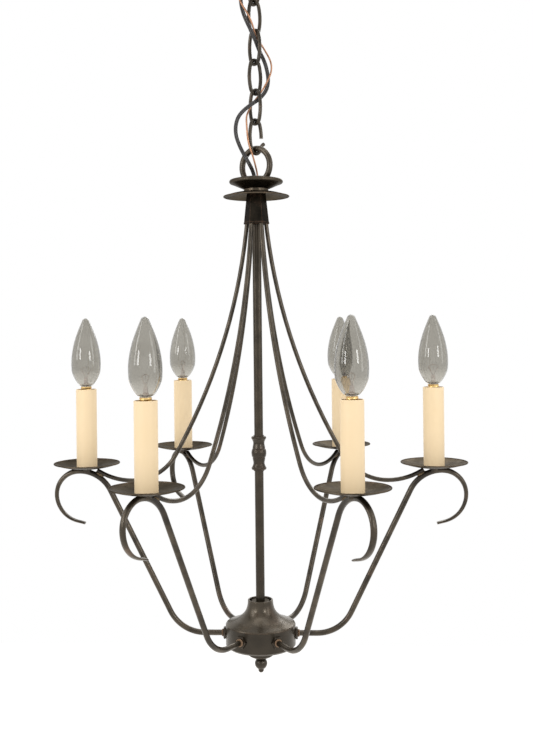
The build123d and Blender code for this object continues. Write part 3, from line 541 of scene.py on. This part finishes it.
copies, given, result = new_tree("copies round the stem", [
    ("Geometry", "NodeSocketGeometry"), ("Seats", "NodeSocketObject"), ("Finish", "NodeSocketMaterial")])
seats = add(copies, "GeometryNodeObjectInfo", {"Object": given.outputs["Seats"]})
angle = add(copies, "GeometryNodeInputNamedAttribute", {"Name": "turn"}, data_type="FLOAT").outputs[0]
euler = add(copies, "ShaderNodeCombineXYZ", {"Z": angle}).outputs[0]
turn = add(copies, "FunctionNodeEulerToRotation", {0: euler}).outputs[0]
placed = add(copies, "GeometryNodeInstanceOnPoints", {
    "Points": seats.outputs["Geometry"], "Instance": given.outputs["Geometry"], "Rotation": turn})
real = add(copies, "GeometryNodeRealizeInstances", {"Geometry": placed.outputs[0]})
painted = add(copies, "GeometryNodeSetMaterial", {
    "Geometry": real.outputs[0], "Material": given.outputs["Finish"]})
copies.links.new(painted.outputs[0], result.inputs[0])
print("seats", len(seat_mesh.vertices), "nodes", len(copies.nodes))


# %% From a tree to a plain mesh
def grow(obj, tree, **values):
    """Runs a tree on the piece with its inputs filled in, and keeps the result as a plain mesh."""
    modifier = obj.modifiers.new("grow", "NODES")
    modifier.node_group = tree
    keys = {s.name: s.identifier for s in tree.interface.items_tree if s.in_out == "INPUT"}
    for label, value in values.items():
        modifier[keys[label.replace("_", " ")]] = value
    bpy.context.view_layer.update()
    seen = obj.evaluated_get(bpy.context.evaluated_depsgraph_get())
    mesh = bpy.data.meshes.new_from_object(seen)
    obj.modifiers.remove(modifier)
    obj.data = mesh
    return obj


# %% [markdown]
# ## Chain links
# Each link is a piece of wire bent round a former and butted, not welded, so a fine joint shows in
# one side. Its line is an oval of four arcs: two tight ends and two bowed sides. Going round by the
# direction in which the line faces, and not by length, puts the most points where it bends the
# most. Curve to Mesh then draws the wire along it. The lowest link has been opened with pliers to
# take the ring, and that one stays as its solid.

# %% Inputs of the link tree
WIRE_SIDES = 24
links, given, result = new_tree("bent wire link", [
    ("Geometry", "NodeSocketGeometry"), ("Length", "NodeSocketFloat"), ("Width", "NodeSocketFloat"),
    ("Wire", "NodeSocketFloat"), ("End Bend", "NodeSocketFloat"), ("Side Bend", "NodeSocketFloat"),
    ("Points", "NodeSocketInt"), ("Finish", "NodeSocketMaterial")])


def work_out(operation, *values):
    """One sum in the link tree."""
    return add(links, "ShaderNodeMath", dict(enumerate(values)), operation=operation).outputs[0]


# %% Oval of four arcs
half_wire = work_out("MULTIPLY", given.outputs["Wire"], 0.5)
half_long = work_out("MULTIPLY_ADD", given.outputs["Length"], 0.5, work_out("MULTIPLY", half_wire, -1.0))
half_wide = work_out("MULTIPLY_ADD", given.outputs["Width"], 0.5, work_out("MULTIPLY", half_wire, -1.0))
end_bend, side_bend = given.outputs["End Bend"], given.outputs["Side Bend"]
end_centre = work_out("SUBTRACT", half_long, end_bend)
side_centre = work_out("SUBTRACT", side_bend, half_wide)
full_turn = work_out("DIVIDE", 2 * math.pi, given.outputs["Points"])
facing = work_out("MULTIPLY", add(links, "GeometryNodeInputIndex").outputs[0], full_turn)
out_x, out_y = work_out("COSINE", facing), work_out("SINE", facing)
slope = work_out("DIVIDE", work_out("ABSOLUTE", out_y), work_out("ABSOLUTE", out_x))
on_side = work_out("LESS_THAN", slope, work_out("DIVIDE", end_centre, side_centre))
bend = work_out("MULTIPLY_ADD", on_side, work_out("SUBTRACT", side_bend, end_bend), end_bend)
back = work_out("MULTIPLY", work_out("MULTIPLY", on_side, side_centre), work_out("SIGN", out_x))
on_end = work_out("SUBTRACT", 1.0, on_side)
ahead = work_out("MULTIPLY", work_out("MULTIPLY", on_end, end_centre), work_out("SIGN", out_y))
line_x = work_out("SUBTRACT", work_out("MULTIPLY", bend, out_x), back)
line_y = work_out("ADD", work_out("MULTIPLY", bend, out_y), ahead)
line_at = add(links, "ShaderNodeCombineXYZ", {"X": line_x, "Y": line_y}).outputs[0]

# %% Wire along the oval
ring = add(links, "GeometryNodeCurvePrimitiveCircle", {
    "Resolution": given.outputs["Points"], "Radius": 0.01}, mode="RADIUS")
oval = add(links, "GeometryNodeSetPosition", {"Geometry": ring.outputs[0], "Position": line_at})
wire_round = add(links, "GeometryNodeCurvePrimitiveCircle", {
    "Resolution": WIRE_SIDES, "Radius": half_wire}, mode="RADIUS")
drawn = add(links, "GeometryNodeCurveToMesh", {
    "Curve": oval.outputs[0], "Profile Curve": wire_round.outputs[0]})
stood = add(links, "GeometryNodeTransform", {"Geometry": drawn.outputs[0], "Rotation": (math.pi / 2, 0, 0)})
painted = add(links, "GeometryNodeSetMaterial", {
    "Geometry": stood.outputs[0], "Material": given.outputs["Finish"]})
links.links.new(painted.outputs[0], result.inputs[0])
print("link tree", len(links.nodes), "nodes")

# %% Sizes of a link, and its joint
LINK_LENGTH, LINK_WIDTH, LINK_WIRE = 40.3 * MM, 20.3 * MM, 4.0 * MM
LINK_END_BEND = 6.4 * MM
LINK_TILT = 45.0              # the even links stand this way, the odd ones across it
CLOSED_LINKS = LINKS - 1
half_high, half_across = (LINK_LENGTH - LINK_WIRE) / 2, (LINK_WIDTH - LINK_WIRE) / 2
SIDE_RISE = (half_high - LINK_END_BEND) ** 2 + half_across**2 - LINK_END_BEND**2
LINK_SIDE_BEND = SIDE_RISE / (2 * (half_across - LINK_END_BEND))
JOINT_FORM = [                # mm out of the wire's surface, and up from the joint
    (-0.4, -1.6), (0.0, -1.6), (0.07, -0.8), (0.10, -0.2), (-0.30, -0.04)]


def butt_joint(side):
    """A ring of slightly swollen wire with the fine gap of the joint in its middle."""
    outline = [(LINK_WIRE / 2 + out * MM, up * MM) for out, up in JOINT_FORM]
    outline += [(r, -z) for r, z in reversed(outline)]
    points, faces = turn_outline(outline, WIRE_SIDES)
    bow = LINK_SIDE_BEND
    return [(x + side * (half_across - bow + math.sqrt(bow**2 - z**2)), y, z) for x, y, z in points], faces


print("side bend", round(LINK_SIDE_BEND, 4))

# %% Five closed links
for n in range(CLOSED_LINKS):
    low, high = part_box(f"chain_link_{n + 1}")
    centre = (low[2] + high[2]) / 2
    blank = new_piece(f"link_{n + 1}_wire", [(0, 0, 0)], [], chain_bronze)
    blank = grow(blank, links, Length=LINK_LENGTH, Width=LINK_WIDTH, Wire=LINK_WIRE, End_Bend=LINK_END_BEND,
                 Side_Bend=LINK_SIDE_BEND, Points=96, Finish=chain_bronze)
    tilt = LINK_TILT if n % 2 else LINK_TILT - 90
    place = Matrix.Translation((0, 0, centre)) @ Matrix.Rotation(math.radians(tilt), 4, "Z")
    blank.data.transform(place)
    tidy(blank.data, 60)
    finished(blank, f"chain_link_{n + 1}", "bronze", f"chain_link_{n + 1}")
    joint = new_piece(f"link_{n + 1}_butt_joint", *butt_joint(-1 if n % 2 else 1), chain_bronze, 30)
    joint.data.transform(place)
    finished(joint, f"chain_link_{n + 1}", "bronze")
print("links", CLOSED_LINKS, "each", len(blank.data.polygons), "faces")

# %% [markdown]
# ## Drip dishes
# The dishes are spun from thin sheet, beaten a little, and their edges are rolled over a wire, which
# stiffens them and catches the light. The outline is turned once, and copied to the six arms.

# %% Outline of a dish
DISH_R, DISH_DEPTH, SHEET = 35.75 * MM, 6.2 * MM, 1.0 * MM
DISH_FLOOR_R = 11.0 * MM
DISH_SIDES = 72
LIP_INSET, LIP_R = 0.7 * MM, 0.72 * MM
POST_HOLE, STEM_HOLE = 4.75 * MM, 4.85 * MM
STEPS_OUT = 26


def dish_outline(hole):
    """Closed outline of a shallow dish with its underside at z = 0."""
    def rise(r):
        share = max(0.0, (r - DISH_FLOOR_R) / (DISH_R - DISH_FLOOR_R))
        return (DISH_DEPTH - SHEET) * (0.55 * share**2 + 0.45 * share**1.3)
    reaches = [hole + (DISH_R - LIP_INSET - hole) * k / STEPS_OUT for k in range(STEPS_OUT + 1)]
    under = [(r, rise(r)) for r in reaches]
    lip = [(DISH_R + LIP_R * (math.cos(a) - 1), DISH_DEPTH - LIP_R + LIP_R * math.sin(a))
           for a in [math.radians(d) for d in range(-60, 181, 20)]]
    over = [(r, rise(r) + SHEET) for r in reversed(reaches[:-1])]
    return under + lip + over


def beaten(r, z, angle):
    """Small slow wobble of a hand-beaten edge."""
    return 0.10 * MM * math.sin(5 * angle + 1.0) * (r / DISH_R) ** 2


# %% Six dishes and the upside-down one
floor_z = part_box("candle_dishes")[0][2]
points, faces = turn_outline(dish_outline(POST_HOLE), DISH_SIDES, beaten)
points = [(x + CANDLE_CIRCLE, y, z + floor_z) for x, y, z in points]
dishes = new_piece("drip_dish_set", points, faces, dish_bronze, 50)
dishes = grow(dishes, copies, Seats=arm_seats, Finish=dish_bronze)
finished(dishes, "fixture", "bronze", "candle_dishes")

top_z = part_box("inverted_dish")[1][2]
points, faces = turn_outline(dish_outline(STEM_HOLE), DISH_SIDES, beaten)
hood = new_piece("upside_down_dish", [(x, y, top_z - z) for x, y, z in points], faces, dish_bronze, 50)
finished(hood, "fixture", "bronze", "inverted_dish")
print("dishes", ARMS + 1, "first at", round(floor_z, 4))

# %% [markdown]
# ## Nuts and threads at the hub
# A brass sleeve goes through the hub's side for each arm, and a hexagonal nut locks it. The thread
# that shows past the nut is what makes it read as a real fitting, so the sleeve's outline carries
# the grooves. Both are made for one arm and copied.

# %% Threaded sleeves
EXIT_Z = (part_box("arm_locknuts")[0][2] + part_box("arm_locknuts")[1][2]) / 2
HUB_SIDE = 37.6 * MM


def lay_outward(points):
    """A thing made along Z, with its foot at 0, laid outwards along X from the hub's side."""
    return [(HUB_SIDE + z, y, EXIT_Z - x) for x, y, z in points]


SLEEVE_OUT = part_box("arm_bushings")[1][0] - HUB_SIDE
SLEEVE_IN = -5.0 * MM
SLEEVE_BORE, SLEEVE_R = 3.05 * MM, 4.0 * MM
CREST_R, ROOT_R = 4.09 * MM, 3.83 * MM
sleeve_outline = [
    (SLEEVE_BORE, SLEEVE_OUT), (SLEEVE_BORE, SLEEVE_IN), (SLEEVE_R, SLEEVE_IN), (SLEEVE_R, 2.3 * MM)]
for groove in range(3):
    z = (2.45 + 0.5 * groove) * MM
    sleeve_outline += [(CREST_R, z), (ROOT_R, z + 0.25 * MM)]
sleeve_outline += [(ROOT_R, SLEEVE_OUT - 0.25 * MM), (3.6 * MM, SLEEVE_OUT)]
points, faces = turn_outline(list(reversed(sleeve_outline)), 40)
sleeve = new_piece("threaded_sleeve_set", lay_outward(points), faces, dull_brass, 35)
sleeve = grow(sleeve, copies, Seats=arm_seats, Finish=dull_brass)
finished(sleeve, "fixture", "brass", "arm_bushings")
print("sleeves stand out", round(SLEEVE_OUT, 4))

# %% Locknuts
NUT_REACH, NUT_BORE, NUT_THICK = 6.8 * MM, 4.15 * MM, 2.4 * MM
NUT_CHAMFER = 0.55 * MM


def flats(r, z, angle):
    """What turns a round outline into the six flats, and draws both of its ends in."""
    if r < NUT_BORE + 0.2 * MM:
        return 0.0
    inside = math.cos(math.pi / 6) / math.cos((angle + math.pi / 6) % (math.pi / 3) - math.pi / 6)
    at_end = z < 0.1 * MM or z > NUT_THICK - 0.1 * MM
    return min(NUT_REACH * inside, NUT_REACH * (0.90 if at_end else 1.0)) - r


nut_levels = [0.02 * MM, NUT_CHAMFER, NUT_THICK - NUT_CHAMFER, NUT_THICK - 0.01 * MM]
nut_outline = [(NUT_BORE, nut_levels[0])] + [(NUT_REACH, z) for z in nut_levels] + [(NUT_BORE, NUT_THICK)]
points, faces = turn_outline(nut_outline, 72, flats)
nut = new_piece("arm_locknut_set", lay_outward(points), faces, turned_bronze, 22)
nut = grow(nut, copies, Seats=arm_seats, Finish=turned_bronze)
finished(nut, "fixture", "bronze", "arm_locknuts")
print("arm fittings at z", round(EXIT_Z, 4))

# %% [markdown]
# ## Brazed joints
# Each stay rod lies against the crook of its arm and is brazed there. The braze flows into the
# corner on both sides and leaves a small lumpy seam, rougher and more yellow than the bars.

# %% Braze
ARM_R, CROOK_BEND, CROOK_OUT = 3.0, 37.6, 195.8     # mm
CROOK = Vector((CROOK_OUT, 0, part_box("arm_1")[1][2] / MM - ARM_R - CROOK_BEND)) * MM
LAP = (CROOK_BEND + ARM_R) * MM
LAP_START, LAP_TURN = 40.0, 14.5                    # degrees inwards from the crook's top, and run
BEAD_WIDE, BEAD_THICK = 2.75 * MM, 1.9 * MM


def braze_bead():
    """A long lump along the line where rod and arm touch, with a few ripples."""
    points, faces, rings, sides = [], [], 15, 16
    for i in range(rings):
        share = i / (rings - 1)
        swing = math.radians(LAP_START - LAP_TURN * share)
        out = Vector((-math.sin(swing), 0, math.cos(swing)))
        place = CROOK + out * LAP
        swell = math.sin(math.pi * min(max(share, 0.02), 0.98)) ** 0.5
        ripple = 1.0 + 0.10 * math.sin(19 * share) + 0.05 * math.sin(41 * share + 1)
        for k in range(sides):
            a = 2 * math.pi * k / sides
            wide = BEAD_WIDE * swell * ripple * math.cos(a)
            thick = BEAD_THICK * swell * ripple * math.sin(a)
            points.append(place + Vector((0, 1, 0)) * wide + out * thick)
    for i in range(rings - 1):
        for k in range(sides):
            n = (k + 1) % sides
            faces.append((i * sides + k, i * sides + n, (i + 1) * sides + n, (i + 1) * sides + k))
    faces += [tuple(range(sides)), tuple((rings - 1) * sides + k for k in range(sides))]
    return points, faces


bead = new_piece("braze_bead_set", *braze_bead(), braze, 70)
bead = grow(bead, copies, Seats=arm_seats, Finish=braze)
finished(bead, "fixture", "bronze")
print("braze beads", ARMS)

# %% [markdown]
# ## Lamps
# A candelabra lamp has a brass screw shell with a coarse rounded thread, a glass press that carries
# two leads, and a coil of fine wire between them. The thread is a wave on the shell's radius that
# climbs with the angle. The coil is a tight helix bent over in a low arc.

# %% Glass outline
AXIS = 0.00001                # an outline's reach where it meets the axis it is turned round
GLASS_R, GLASS_TALL, WALL = 15.875 * MM, 77.2 * MM, 0.7 * MM
GLASS_NECK_R = 5.4 * MM
GLASS_FORM = [                # shares of GLASS_R and of GLASS_TALL
    (0.355, 0.050), (0.48, 0.060), (0.655, 0.104), (0.79, 0.152), (0.895, 0.20), (0.97, 0.25),
    (1.0, 0.34), (0.989, 0.433), (0.93, 0.532), (0.832, 0.632), (0.71, 0.72), (0.542, 0.817),
    (0.352, 0.912), (0.262, 0.955), (0.185, 0.983)]
STEPS_BETWEEN = 5


def glass_line():
    """Smooth half outline of the glass, from its neck to its tip: a Catmull-Rom curve."""
    keys = [(r * GLASS_R, z * GLASS_TALL) for r, z in GLASS_FORM]
    keys = [(GLASS_NECK_R, 0.8 * MM), (GLASS_NECK_R, 2.2 * MM)] + keys + [(0.0, GLASS_TALL)]
    line = [keys[0]]
    for i in range(1, len(keys) - 1):
        p0, p1, p2 = keys[i - 1], keys[i], keys[i + 1]
        p3 = keys[i + 2] if i + 2 < len(keys) else (-keys[-2][0], keys[-2][1])
        for k in range(STEPS_BETWEEN):
            t = k / STEPS_BETWEEN
            line.append(tuple(
                0.5 * (2 * b + (c - a) * t + (2 * a - 5 * b + 4 * c - d) * t**2
                       + (3 * b - a - 3 * c + d) * t**3)
                for a, b, c, d in zip(p0, p1, p2, p3)))
    return line


def drawn_in(line):
    """The same outline moved inwards by the wall, square to itself."""
    inner = []
    for (r0, z0), (r, z), (r1, z1) in zip([line[0]] + line[:-1], line, line[1:] + [(0.0, GLASS_TALL)]):
        way = Vector((r1 - r0, z1 - z0)).normalized()
        inner.append((r - way.y * WALL, z + way.x * WALL))
    return [(r, z) for r, z in inner if r > 0.3 * MM]


def glass_shell():
    """Points and faces of the glass, with its outer and its inner face."""
    outer = glass_line()
    outline = outer + [(AXIS, GLASS_TALL), (AXIS, GLASS_TALL - WALL)] + list(reversed(drawn_in(outer)))
    return turn_outline(outline, 80)


print("glass outline", len(glass_line()), "points")

# %% Press and screw shell
PRESS_FORM = [(4.1, 1.2), (3.0, 5.0), (2.3, 9.5), (2.0, 12.6)]      # mm: a flared glass tube
PRESS_FOOT, PRESS_TOP = 1.2 * MM, 13.1 * MM
PRESS_OUTLINE = [(AXIS, PRESS_FOOT)] + [(r * MM, z * MM) for r, z in PRESS_FORM] + [(AXIS, PRESS_TOP)]

SHELL_LOW, SHELL_TOP = 2.8 * MM - 21.0 * MM, 2.8 * MM
SHELL_R, COLLAR_R = 5.66 * MM, 5.88 * MM
TIP_FORM = [(2.2, 0.2), (2.4, 1.4), (3.6, 2.0), (5.5, 4.4)]         # mm: the solder tip and its insulator
THREAD_PITCH, THREAD_DEPTH = 2.54 * MM, 0.22 * MM
THREAD_FOOT, THREAD_TOP = SHELL_LOW + 5.0 * MM, 1.6 * MM
THREAD_STEPS, THREAD_STEP = 42, 0.35 * MM       # about seven steps to one turn of the thread


def shell_thread(r, z, angle):
    """The wave of the rounded thread, on the outside of the shell only."""
    if r <= 5.3 * MM or z >= THREAD_TOP:
        return 0.0
    return THREAD_DEPTH * math.sin(2 * math.pi * (z / THREAD_PITCH) - angle)


def shell_outline():
    """Outline of the shell, from its tip up to the collar and back inside."""
    outline = [(AXIS, SHELL_LOW)] + [(r * MM, SHELL_LOW + z * MM) for r, z in TIP_FORM]
    outline += [(SHELL_R, THREAD_FOOT + k * THREAD_STEP) for k in range(THREAD_STEPS)]
    outline += [(COLLAR_R, 2.2 * MM), (COLLAR_R, SHELL_TOP), (5.5 * MM, SHELL_TOP)]
    return outline + [(GLASS_NECK_R, SHELL_LOW + 6.0 * MM), (AXIS, SHELL_LOW + 3.0 * MM)]


print("screw shell", len(shell_outline()), "points, a turn of thread in", round(THREAD_PITCH, 5))

# %% Filament
COIL_TURNS, COIL_STEPS = 26, 8
COIL_SPAN, COIL_HIGH, COIL_ARCH = 11.0 * MM, 21.5 * MM, 2.6 * MM
COIL_R, COIL_SLANT, COIL_WIRE_R = 0.36 * MM, 0.12 * MM, 0.10 * MM
LEAD_WIRE_R, STEM_WIRE_R = 0.34 * MM, 0.16 * MM
LEAD_FORM = [(1.2, 10.0), (1.2, 13.5), (1.7, 15.4), (3.6, 18.6), (5.5, 21.6)]   # mm out, and up
STEM_LEVELS = (12.0, 17.0, 23.7)                                                # mm


def coil_line():
    """The helix of the filament, bent over an arc between the tips of the leads."""
    line, steps = [], COIL_TURNS * COIL_STEPS
    for k in range(steps + 1):
        share = k / steps
        a = 2 * math.pi * COIL_TURNS * share
        line.append((
            COIL_SPAN * (share - 0.5) + COIL_SLANT * math.cos(a), COIL_R * math.sin(a),
            COIL_HIGH + COIL_ARCH * math.sin(math.pi * share) + COIL_R * math.cos(a)))
    return line


def filament():
    """Points and faces of the coil, its two leads and the support wire between them."""
    points, faces = draw_along(coil_line(), circle(COIL_WIRE_R, 6))
    wires = []
    for side in (-1, 1):
        wires.append(([(side * out * MM, 0, up * MM) for out, up in LEAD_FORM], circle(LEAD_WIRE_R, 8)))
    wires.append(([(0, 0, up * MM) for up in STEM_LEVELS], circle(STEM_WIRE_R, 6)))
    for line, section in wires:
        more, quads = draw_along(line, section)
        faces += [tuple(i + len(points) for i in quad) for quad in quads]
        points += more
    return points, faces


print("filament", len(filament()[1]), "faces")

# %% Six lamps
for n in range(ARMS):
    swing = Matrix.Rotation(ARM_TURNS[n], 4, "Z") @ Matrix.Translation((CANDLE_CIRCLE, 0, COVER_TOP))
    body = f"lamp_{n + 1}"
    bulb = new_piece(f"{body}_glass", *glass_shell(), glass, 60)
    bulb.data.transform(swing)
    finished(bulb, body, "glass", f"bulb_{n + 1}")
    press = new_piece(f"{body}_press", *turn_outline(PRESS_OUTLINE, 32), press_finish, 60)
    press.data.transform(swing)
    finished(press, body, "glass")
    shell = new_piece(f"{body}_screw_shell", *turn_outline(shell_outline(), 64, shell_thread), brass, 50)
    shell.data.transform(swing)
    finished(shell, body, "brass", f"bulb_base_{n + 1}")
    wires = new_piece(f"{body}_filament", *filament(), tungsten, 60)
    wires.data.transform(swing)
    finished(wires, body, "brass")
print("lamps", ARMS, "cover top", round(COVER_TOP, 4))

# %% [markdown]
# ## The cords
# A flat cord of two moulded wires feeds the lamps and a bare copper wire earths the frame. Both
# leave the fitting on the ceiling, weave through the chain and go down into the stem. Each is one
# smooth NURBS line through the air. It crosses seven joints of the chain, so it is cut at the
# middle of each link into seven lengths.

# %% Control points of the cords
SUPPLY_ROUTE = [
    (-1.3, 0.2, -6.0), (-1.4, 0.0, -18.0), (-1.6, -0.9, -30.1), (-2.4, 2.2, -41.0), (-5.4, 3.2, -49.7),
    (-11.5, 3.3, -60.5), (-14.2, -0.9, -72.0), (-14.4, -5.0, -84.0), (-13.6, -8.5, -96.0),
    (-10.2, -10.6, -108.5), (-4.3, -9.9, -121.0), (0.8, -4.4, -131.5), (4.8, 0.4, -142.5),
    (10.4, 2.6, -153.5), (13.4, 2.8, -165.0), (14.5, 2.0, -175.4), (12.1, 2.2, -185.5),
    (4.9, -1.0, -194.8), (-3.1, -3.5, -200.4), (-11.6, -5.0, -206.8), (-18.2, -7.0, -214.5),
    (-21.2, -8.0, -225.0), (-20.6, -8.8, -236.0), (-16.6, -9.0, -247.0), (-12.0, -8.0, -256.0),
    (-6.6, -5.2, -265.5), (-2.2, -0.8, -274.8), (-1.5, 0.0, -284.5), (-1.5, 0.0, -296.0),
]
GROUND_ROUTE = [
    (2.2, 0.0, -6.0), (2.0, 0.2, -18.0), (1.6, -0.8, -29.9), (0.4, 5.2, -41.9), (-6.6, 9.1, -52.0),
    (-13.4, 6.2, -64.0), (-18.2, -1.6, -76.0), (-16.6, -9.6, -87.0), (-11.8, -12.0, -97.5),
    (-6.4, -12.4, -106.0), (-1.6, -11.0, -116.6), (1.0, -2.8, -126.9), (5.9, 0.3, -133.6),
    (11.2, 4.0, -142.0), (16.0, 4.2, -150.5), (18.2, 2.0, -159.0), (17.4, -2.0, -168.0),
    (13.4, -4.4, -177.0), (8.8, -2.5, -184.8), (3.1, 0.4, -191.7), (-2.6, 0.3, -199.0),
    (-7.2, -0.8, -207.0), (-9.5, -7.8, -215.5), (-8.8, -10.6, -226.0), (-8.2, -10.4, -237.0),
    (-6.6, -9.8, -246.5), (-3.2, -8.2, -255.5), (-0.6, -4.6, -265.5), (1.5, -1.2, -275.0),
    (1.9, 0.0, -284.0), (1.9, 0.0, -295.0),
]
print("control points", len(SUPPLY_ROUTE), "and", len(GROUND_ROUTE))


# %% From control points to a smooth line, and its cuts
def smooth_line(name, route):
    """The points along one NURBS spline that has the route as its control points."""
    curve = bpy.data.curves.new(name, "CURVE")
    curve.dimensions = "3D"
    spline = curve.splines.new("NURBS")
    spline.points.add(len(route) - 1)
    for point, (x, y, z) in zip(spline.points, route):
        point.co = (x * MM, y * MM, z * MM, 1)
    spline.order_u = 3
    spline.use_endpoint_u = True
    spline.resolution_u = 8
    obj = bpy.data.objects.new(name, curve)
    bpy.context.scene.collection.objects.link(obj)
    bpy.context.view_layer.update()
    mesh = bpy.data.meshes.new_from_object(obj.evaluated_get(bpy.context.evaluated_depsgraph_get()))
    line = [v.co.copy() for v in mesh.vertices]
    bpy.data.objects.remove(obj)
    bpy.data.meshes.remove(mesh)
    return line if line[0].z > line[-1].z else list(reversed(line))


CUTS = [-77.0, -109.0, -141.0, -173.0, -205.5, -237.5]      # mm: the middles of the links


def cut_at_links(line):
    """The line's points in seven lengths, which share their end points."""
    lengths, start = [], 0
    for level in CUTS:
        end = next(i for i in range(start + 1, len(line)) if line[i].z < level * MM)
        lengths.append(line[start:end + 1])
        start = end
    return lengths + [line[start:]]


# %% Seven lengths of each cord
CORD_WIDE, CORE_R = 4.2 * MM, 1.12 * MM
GROUND_WIDE = 1.9 * MM


def twin_section():
    """Two round wires moulded side by side."""
    half = CORD_WIDE / 2 - CORE_R
    turns = [math.radians(a) for a in range(-150, 151, 25)]
    right = [(half + CORE_R * math.cos(a), CORE_R * math.sin(a)) for a in turns]
    return right + [(-x, -y) for x, y in right]


def weave(name, route, section, material, node):
    """The cord's lengths, each drawn as its own piece, with the solid it stands for hidden."""
    line = smooth_line(name, route)
    total = 0.0
    for n, part in enumerate(cut_at_links(line)):
        points, faces = draw_along(part, section)
        piece = new_piece(f"{name}_{n + 1}", points, faces, material, 60)
        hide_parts(node)
        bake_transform(piece)
        long = sum((b - a).length for a, b in zip(part, part[1:]))
        total += long
    print(name, "length", round(total, 4))


weave("supply_cord_length", SUPPLY_ROUTE, twin_section(), cord_skin, "supply_cord")
weave("earth_wire_length", GROUND_ROUTE, circle(GROUND_WIDE / 2, 14), copper,
      "ground_wire")
